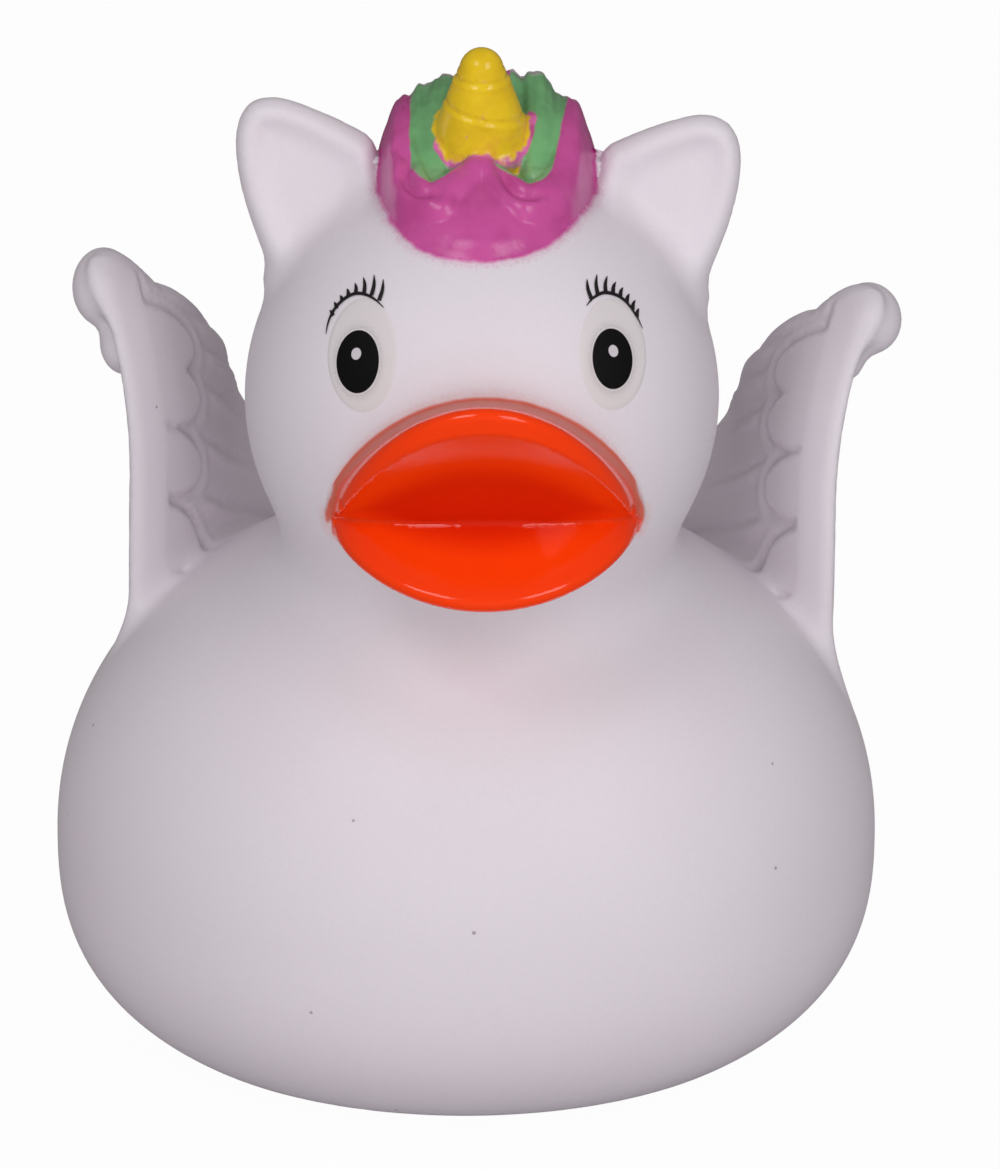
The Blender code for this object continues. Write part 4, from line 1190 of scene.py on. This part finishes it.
def line_print_tree():
    """Draws tapered ink lines along a mesh's edges and presses them onto a ball."""
    tree = bpy.data.node_groups.new("tapered_ink_lines", "GeometryNodeTree")
    for name, kind, default in (
        ("Lines", "NodeSocketGeometry", None),
        ("Width", "NodeSocketFloat", 0.0004),
        ("Taper at Start", "NodeSocketFloat", 0.0),
        ("Samples", "NodeSocketInt", 14),
        ("Ball Centre", "NodeSocketVector", (0.0, 0.0, 0.0)),
        ("Ball Radius", "NodeSocketFloat", 0.02),
        ("Ink Height", "NodeSocketFloat", 0.00005),
        ("Ink", "NodeSocketMaterial", None),
    ):
        socket = tree.interface.new_socket(name, in_out="INPUT", socket_type=kind)
        if default is not None:
            socket.default_value = default
    tree.interface.new_socket("Printed Lines", in_out="OUTPUT", socket_type="NodeSocketGeometry")
    n = Nodes(tree)
    given = n.add("NodeGroupInput").outputs
    curve = n.add("GeometryNodeMeshToCurve", {0: given["Lines"]}).outputs[0]
    curve = n.add("GeometryNodeCurveSplineType", {0: curve}, spline_type="CATMULL_ROM").outputs[0]
    curve = n.add("GeometryNodeResampleCurve", {0: curve, "Count": given["Samples"]}).outputs[0]

    along = n.add("GeometryNodeSplineParameter").outputs["Factor"]
    to_end = n.minus(1.0, n.maths("POWER", along, 2.2))
    at_start = n.maths("POWER", n.minus(1.0, along), 3.0)
    from_start = n.minus(1.0, n.times(given["Taper at Start"], at_start))
    taper = n.plus(n.times(n.times(to_end, from_start), 0.88), 0.12)
    radius = n.times(n.times(given["Width"], 0.5), taper)
    ring = n.add("GeometryNodeCurvePrimitiveCircle", {"Resolution": 10, "Radius": 1.0}).outputs[0]
    inputs = {"Curve": curve, "Profile Curve": ring, "Scale": radius, "Fill Caps": True}
    tube = n.add("GeometryNodeCurveToMesh", inputs).outputs[0]

    place = n.add("GeometryNodeInputPosition").outputs[0]
    off = n.vector("SUBTRACT", place, given["Ball Centre"])[0]
    over = n.times(n.minus(n.vector("LENGTH", off)["Value"], given["Ball Radius"]), 0.22)
    reach = n.plus(n.plus(given["Ball Radius"], given["Ink Height"]), over)
    pressed = n.vector("SCALE", n.vector("NORMALIZE", off)[0], scale=reach)[0]
    pressed = n.vector("ADD", pressed, given["Ball Centre"])[0]
    lines = n.add("GeometryNodeSetPosition", {"Geometry": tube, "Position": pressed}).outputs[0]
    lines = n.add("GeometryNodeRealizeInstances", {0: lines}).outputs[0]
    lines = n.add("GeometryNodeSetMaterial", {"Geometry": lines, "Material": given["Ink"]}).outputs[0]
    n.add("NodeGroupOutput", {0: lines})
    return tree


def printed_lines(name, paths, tree, settings):
    """Runs the ink tree along the paths and returns the plain mesh piece that it makes."""
    points, edges = [], []
    for path in paths:
        first = len(points)
        points += [tuple(point * MM) for point in path]
        edges += [(first + i, first + i + 1) for i in range(len(path) - 1)]
    mesh = bpy.data.meshes.new(f"{name}_paths")
    mesh.from_pydata(points, edges, [])
    carrier = bpy.data.objects.new(f"{name}_paths", mesh)
    bpy.context.scene.collection.objects.link(carrier)
    modifier = carrier.modifiers.new("ink", "NODES")
    modifier.node_group = tree
    for item in tree.interface.items_tree:
        if item.in_out == "INPUT" and item.name in settings:
            modifier[item.identifier] = settings[item.name]
    bpy.context.view_layer.update()
    evaluated = carrier.evaluated_get(bpy.context.evaluated_depsgraph_get())
    made = bpy.data.meshes.new_from_object(evaluated)
    made.name = name
    bpy.data.objects.remove(carrier, do_unlink=True)
    if not made.polygons:
        raise RuntimeError(f"{name} came out empty")
    piece = bpy.data.objects.new(name, made)
    piece.data.shade_smooth()
    bpy.context.scene.collection.objects.link(piece)
    return piece


def lash_paths(side):
    """Each lash on the head, from root to tip, bent a little outward."""
    way, lashes = EYES[side][0], EYES[side][5]
    bend = LASH_BEND if side == "left" else -LASH_BEND
    paths = []
    for (ru, rv), (tu, tv) in lashes:
        middle = ((ru + tu) / 2.0 + (tv - rv) * bend, (rv + tv) / 2.0 - (tu - ru) * bend)
        paths.append([head_point(way, *place) for place in ((ru, rv), middle, (tu, tv))])
    return paths


class DUCK_OT_lashes(bpy.types.Operator):
    """Print the lid line and the lashes over each eye"""

    bl_idname = "duck.lashes"
    bl_label = "Print Lashes"

    def execute(self, context):
        sizes = context.scene.duck_sizes
        tree = line_print_tree()
        settings = {
            "Ball Centre": tuple(float(v) * MM for v in HEAD),
            "Ball Radius": sizes.head_radius,
            "Ink Height": sizes.ink_height * 1.6,
            "Ink": black_ink(),
        }
        lid_settings = {**settings, "Width": sizes.lid_width, "Taper at Start": 1.0, "Samples": 48}
        lash_settings = {**settings, "Width": sizes.lash_width, "Taper at Start": 0.0, "Samples": 12}
        for side, (way, _, _, _, lid, _) in EYES.items():
            lid_path = [head_point(way, u, v) for u, v in lid]
            lid_piece = printed_lines(f"lid_{side}", [lid_path], tree, lid_settings)
            lash_piece = printed_lines(f"lashes_{side}", lash_paths(side), tree, lash_settings)
            for piece in (lid_piece, lash_piece):
                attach(piece, "root")
        return {"FINISHED"}


def squeaker_plastic():
    n = Finish("squeaker_plastic_moulded")
    clouds = n.ramp(n.noise(220.0), 0.35, 0.65)
    n.surface(
        Base_Color=n.mix(clouds, srgb(232, 231, 226), srgb(222, 221, 214)),
        Roughness=n.blend(n.ramp(n.noise(1500.0, 2.0), 0.3, 0.7), 0.30, 0.42),
        Normal=n.bump(n.noise(2400.0, 2.0), 0.00002, 0.5),
    )
    return n.material


def reed_brass():
    n = Finish("reed_brass_rolled")
    stretched = n.add("ShaderNodeMapping", {"Vector": n.place(), "Scale": (0.06, 1.0, 1.0)}).outputs[0]
    lines = n.noise(9000.0, 2.0, 0.5, stretched)
    n.surface(
        Base_Color=n.mix(n.ramp(lines, 0.3, 0.7), srgb(214, 178, 104), srgb(186, 146, 78)),
        Metallic=1.0,
        Roughness=n.blend(lines, 0.24, 0.40),
        Normal=n.bump(lines, 0.00001, 0.4),
    )
    return n.material


class DUCK_OT_squeaker(bpy.types.Operator):
    """Give the squeaker its moulded plastic and its brass reed"""

    bl_idname = "duck.squeaker"
    bl_label = "Finish Squeaker"

    def execute(self, context):
        plastic, brass = squeaker_plastic(), reed_brass()
        finishes = {"squeaker_housing": plastic, "squeaker_cap": plastic, "squeaker_reed": brass}
        for name, finish in finishes.items():
            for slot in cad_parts[name].material_slots:
                slot.material = finish
        return {"FINISHED"}


def floor_material():
    """Pale floor that keeps the shadow and shows near white to the camera."""
    n = Finish("pale_floor")
    n.surface(Base_Color=srgb(222, 220, 221), Roughness=0.9, Specular_IOR_Level=0.1)
    path = n.add("ShaderNodeLightPath").outputs
    strength = n.minus(1.0, n.times(path["Is Glossy Ray"], 0.9))
    glow = n.add("ShaderNodeEmission", {"Color": WHITE, "Strength": strength}).outputs[0]
    seen = n.most(n.most(path["Is Camera Ray"], path["Is Glossy Ray"]), path["Is Transmission Ray"])
    share = n.times(seen, 0.97)
    both = n.add("ShaderNodeMixShader", {0: share, 1: n.shader.outputs[0], 2: glow}).outputs[0]
    n.join(both, n.tree.nodes["Material Output"].inputs["Surface"])
    return n.material


def floor_disc():
    mesh = bpy.data.meshes.new("floor")
    angles = [math.tau * k / FLOOR_SIDES for k in range(FLOOR_SIDES)]
    rim = [(FLOOR_RADIUS * math.cos(angle), FLOOR_RADIUS * math.sin(angle), 0.0) for angle in angles]
    mesh.from_pydata(rim, [], [tuple(range(FLOOR_SIDES))])
    mesh.materials.append(floor_material())
    floor = bpy.data.objects.new("floor", mesh)
    bpy.context.scene.collection.objects.link(floor)
    return floor


def area_light(name, place, size, watts):
    """A soft rectangular lamp that points at the middle of the duck."""
    data = bpy.data.lights.new(name, "AREA")
    data.shape = "RECTANGLE"
    data.size, data.size_y = size
    data.energy = watts
    lamp = bpy.data.objects.new(name, data)
    lamp.location = place
    lamp.rotation_euler = (Vector(LAMP_TARGET) - Vector(place)).to_track_quat("-Z", "Y").to_euler()
    bpy.context.scene.collection.objects.link(lamp)
    return lamp


def photo_camera():
    data = bpy.data.cameras.new("camera")
    data.lens = CAMERA_LENS
    data.sensor_width = 36.0
    camera = bpy.data.objects.new("camera", data)
    camera.location = CAMERA_PLACE
    camera.rotation_euler = CAMERA_TURN
    bpy.context.scene.collection.objects.link(camera)
    return camera


def light_world(world):
    """Dim pinkish light, dimmer in reflections, and white for the camera and through glass."""
    world.use_nodes = True
    n = Nodes(world.node_tree)
    n.tree.nodes.clear()
    path = n.add("ShaderNodeLightPath").outputs
    strength = n.maths("MULTIPLY_ADD", path["Is Glossy Ray"], -0.27, 0.395)
    dim = n.add("ShaderNodeBackground", {"Color": (1.0, 0.96, 0.96, 1.0), "Strength": strength}).outputs[0]
    white = n.add("ShaderNodeBackground", {"Color": WHITE}).outputs[0]
    seen = n.most(path["Is Camera Ray"], path["Is Transmission Ray"])
    both = n.add("ShaderNodeMixShader", {0: seen, 1: dim, 2: white}).outputs[0]
    n.add("ShaderNodeOutputWorld", {0: both})


class DUCK_OT_stage(bpy.types.Operator):
    """Set the pale floor, the three soft lamps, the world and the camera of the photograph"""

    bl_idname = "duck.stage"
    bl_label = "Set Stage"

    def execute(self, context):
        scene = context.scene
        floor = floor_disc()
        area_light("softbox_right", (0.36, -0.52, 0.42), (0.30, 0.34), 1.14)
        area_light("softbox_left", (-0.28, -0.46, 0.54), (0.28, 0.28), 0.92)
        fill = area_light("fill_front", (0.0, -0.85, 0.12), (0.60, 0.20), 1.5)
        fill.visible_glossy = False
        scene.camera = photo_camera()
        scene.world = scene.world or bpy.data.worlds.new("studio")
        light_world(scene.world)
        scene.view_settings.view_transform = "Standard"
        return {"FINISHED"}


class DUCK_PT_panel(bpy.types.Panel):
    """Sizes, colours and steps of the bath duck"""

    bl_idname = "DUCK_PT_panel"
    bl_label = "Bath Duck"
    bl_space_type = "VIEW_3D"
    bl_region_type = "UI"
    bl_category = "Bath Duck"

    def draw(self, context):
        layout = self.layout
        for holder in (context.scene.duck_sizes, context.scene.duck_look):
            column = layout.column(align=True)
            for key in holder.__annotations__:
                column.prop(holder, key)
        for step in STEPS:
            layout.operator(step.bl_idname)


STEPS = (DUCK_OT_skin, DUCK_OT_eyes, DUCK_OT_lashes, DUCK_OT_squeaker, DUCK_OT_stage)
CLASSES = (DuckSizes, DuckLook, *STEPS, DUCK_PT_panel)


def register():
    for each in CLASSES:
        bpy.utils.register_class(each)
    bpy.types.Scene.duck_sizes = bpy.props.PointerProperty(type=DuckSizes)
    bpy.types.Scene.duck_look = bpy.props.PointerProperty(type=DuckLook)


def unregister():
    del bpy.types.Scene.duck_look
    del bpy.types.Scene.duck_sizes
    for each in reversed(CLASSES):
        bpy.utils.unregister_class(each)


def main():
    register()
    bpy.ops.duck.skin()
    bpy.ops.duck.eyes()
    bpy.ops.duck.lashes()
    bpy.ops.duck.squeaker()
    bpy.ops.duck.stage()


if __name__ == "__main__":
    main()
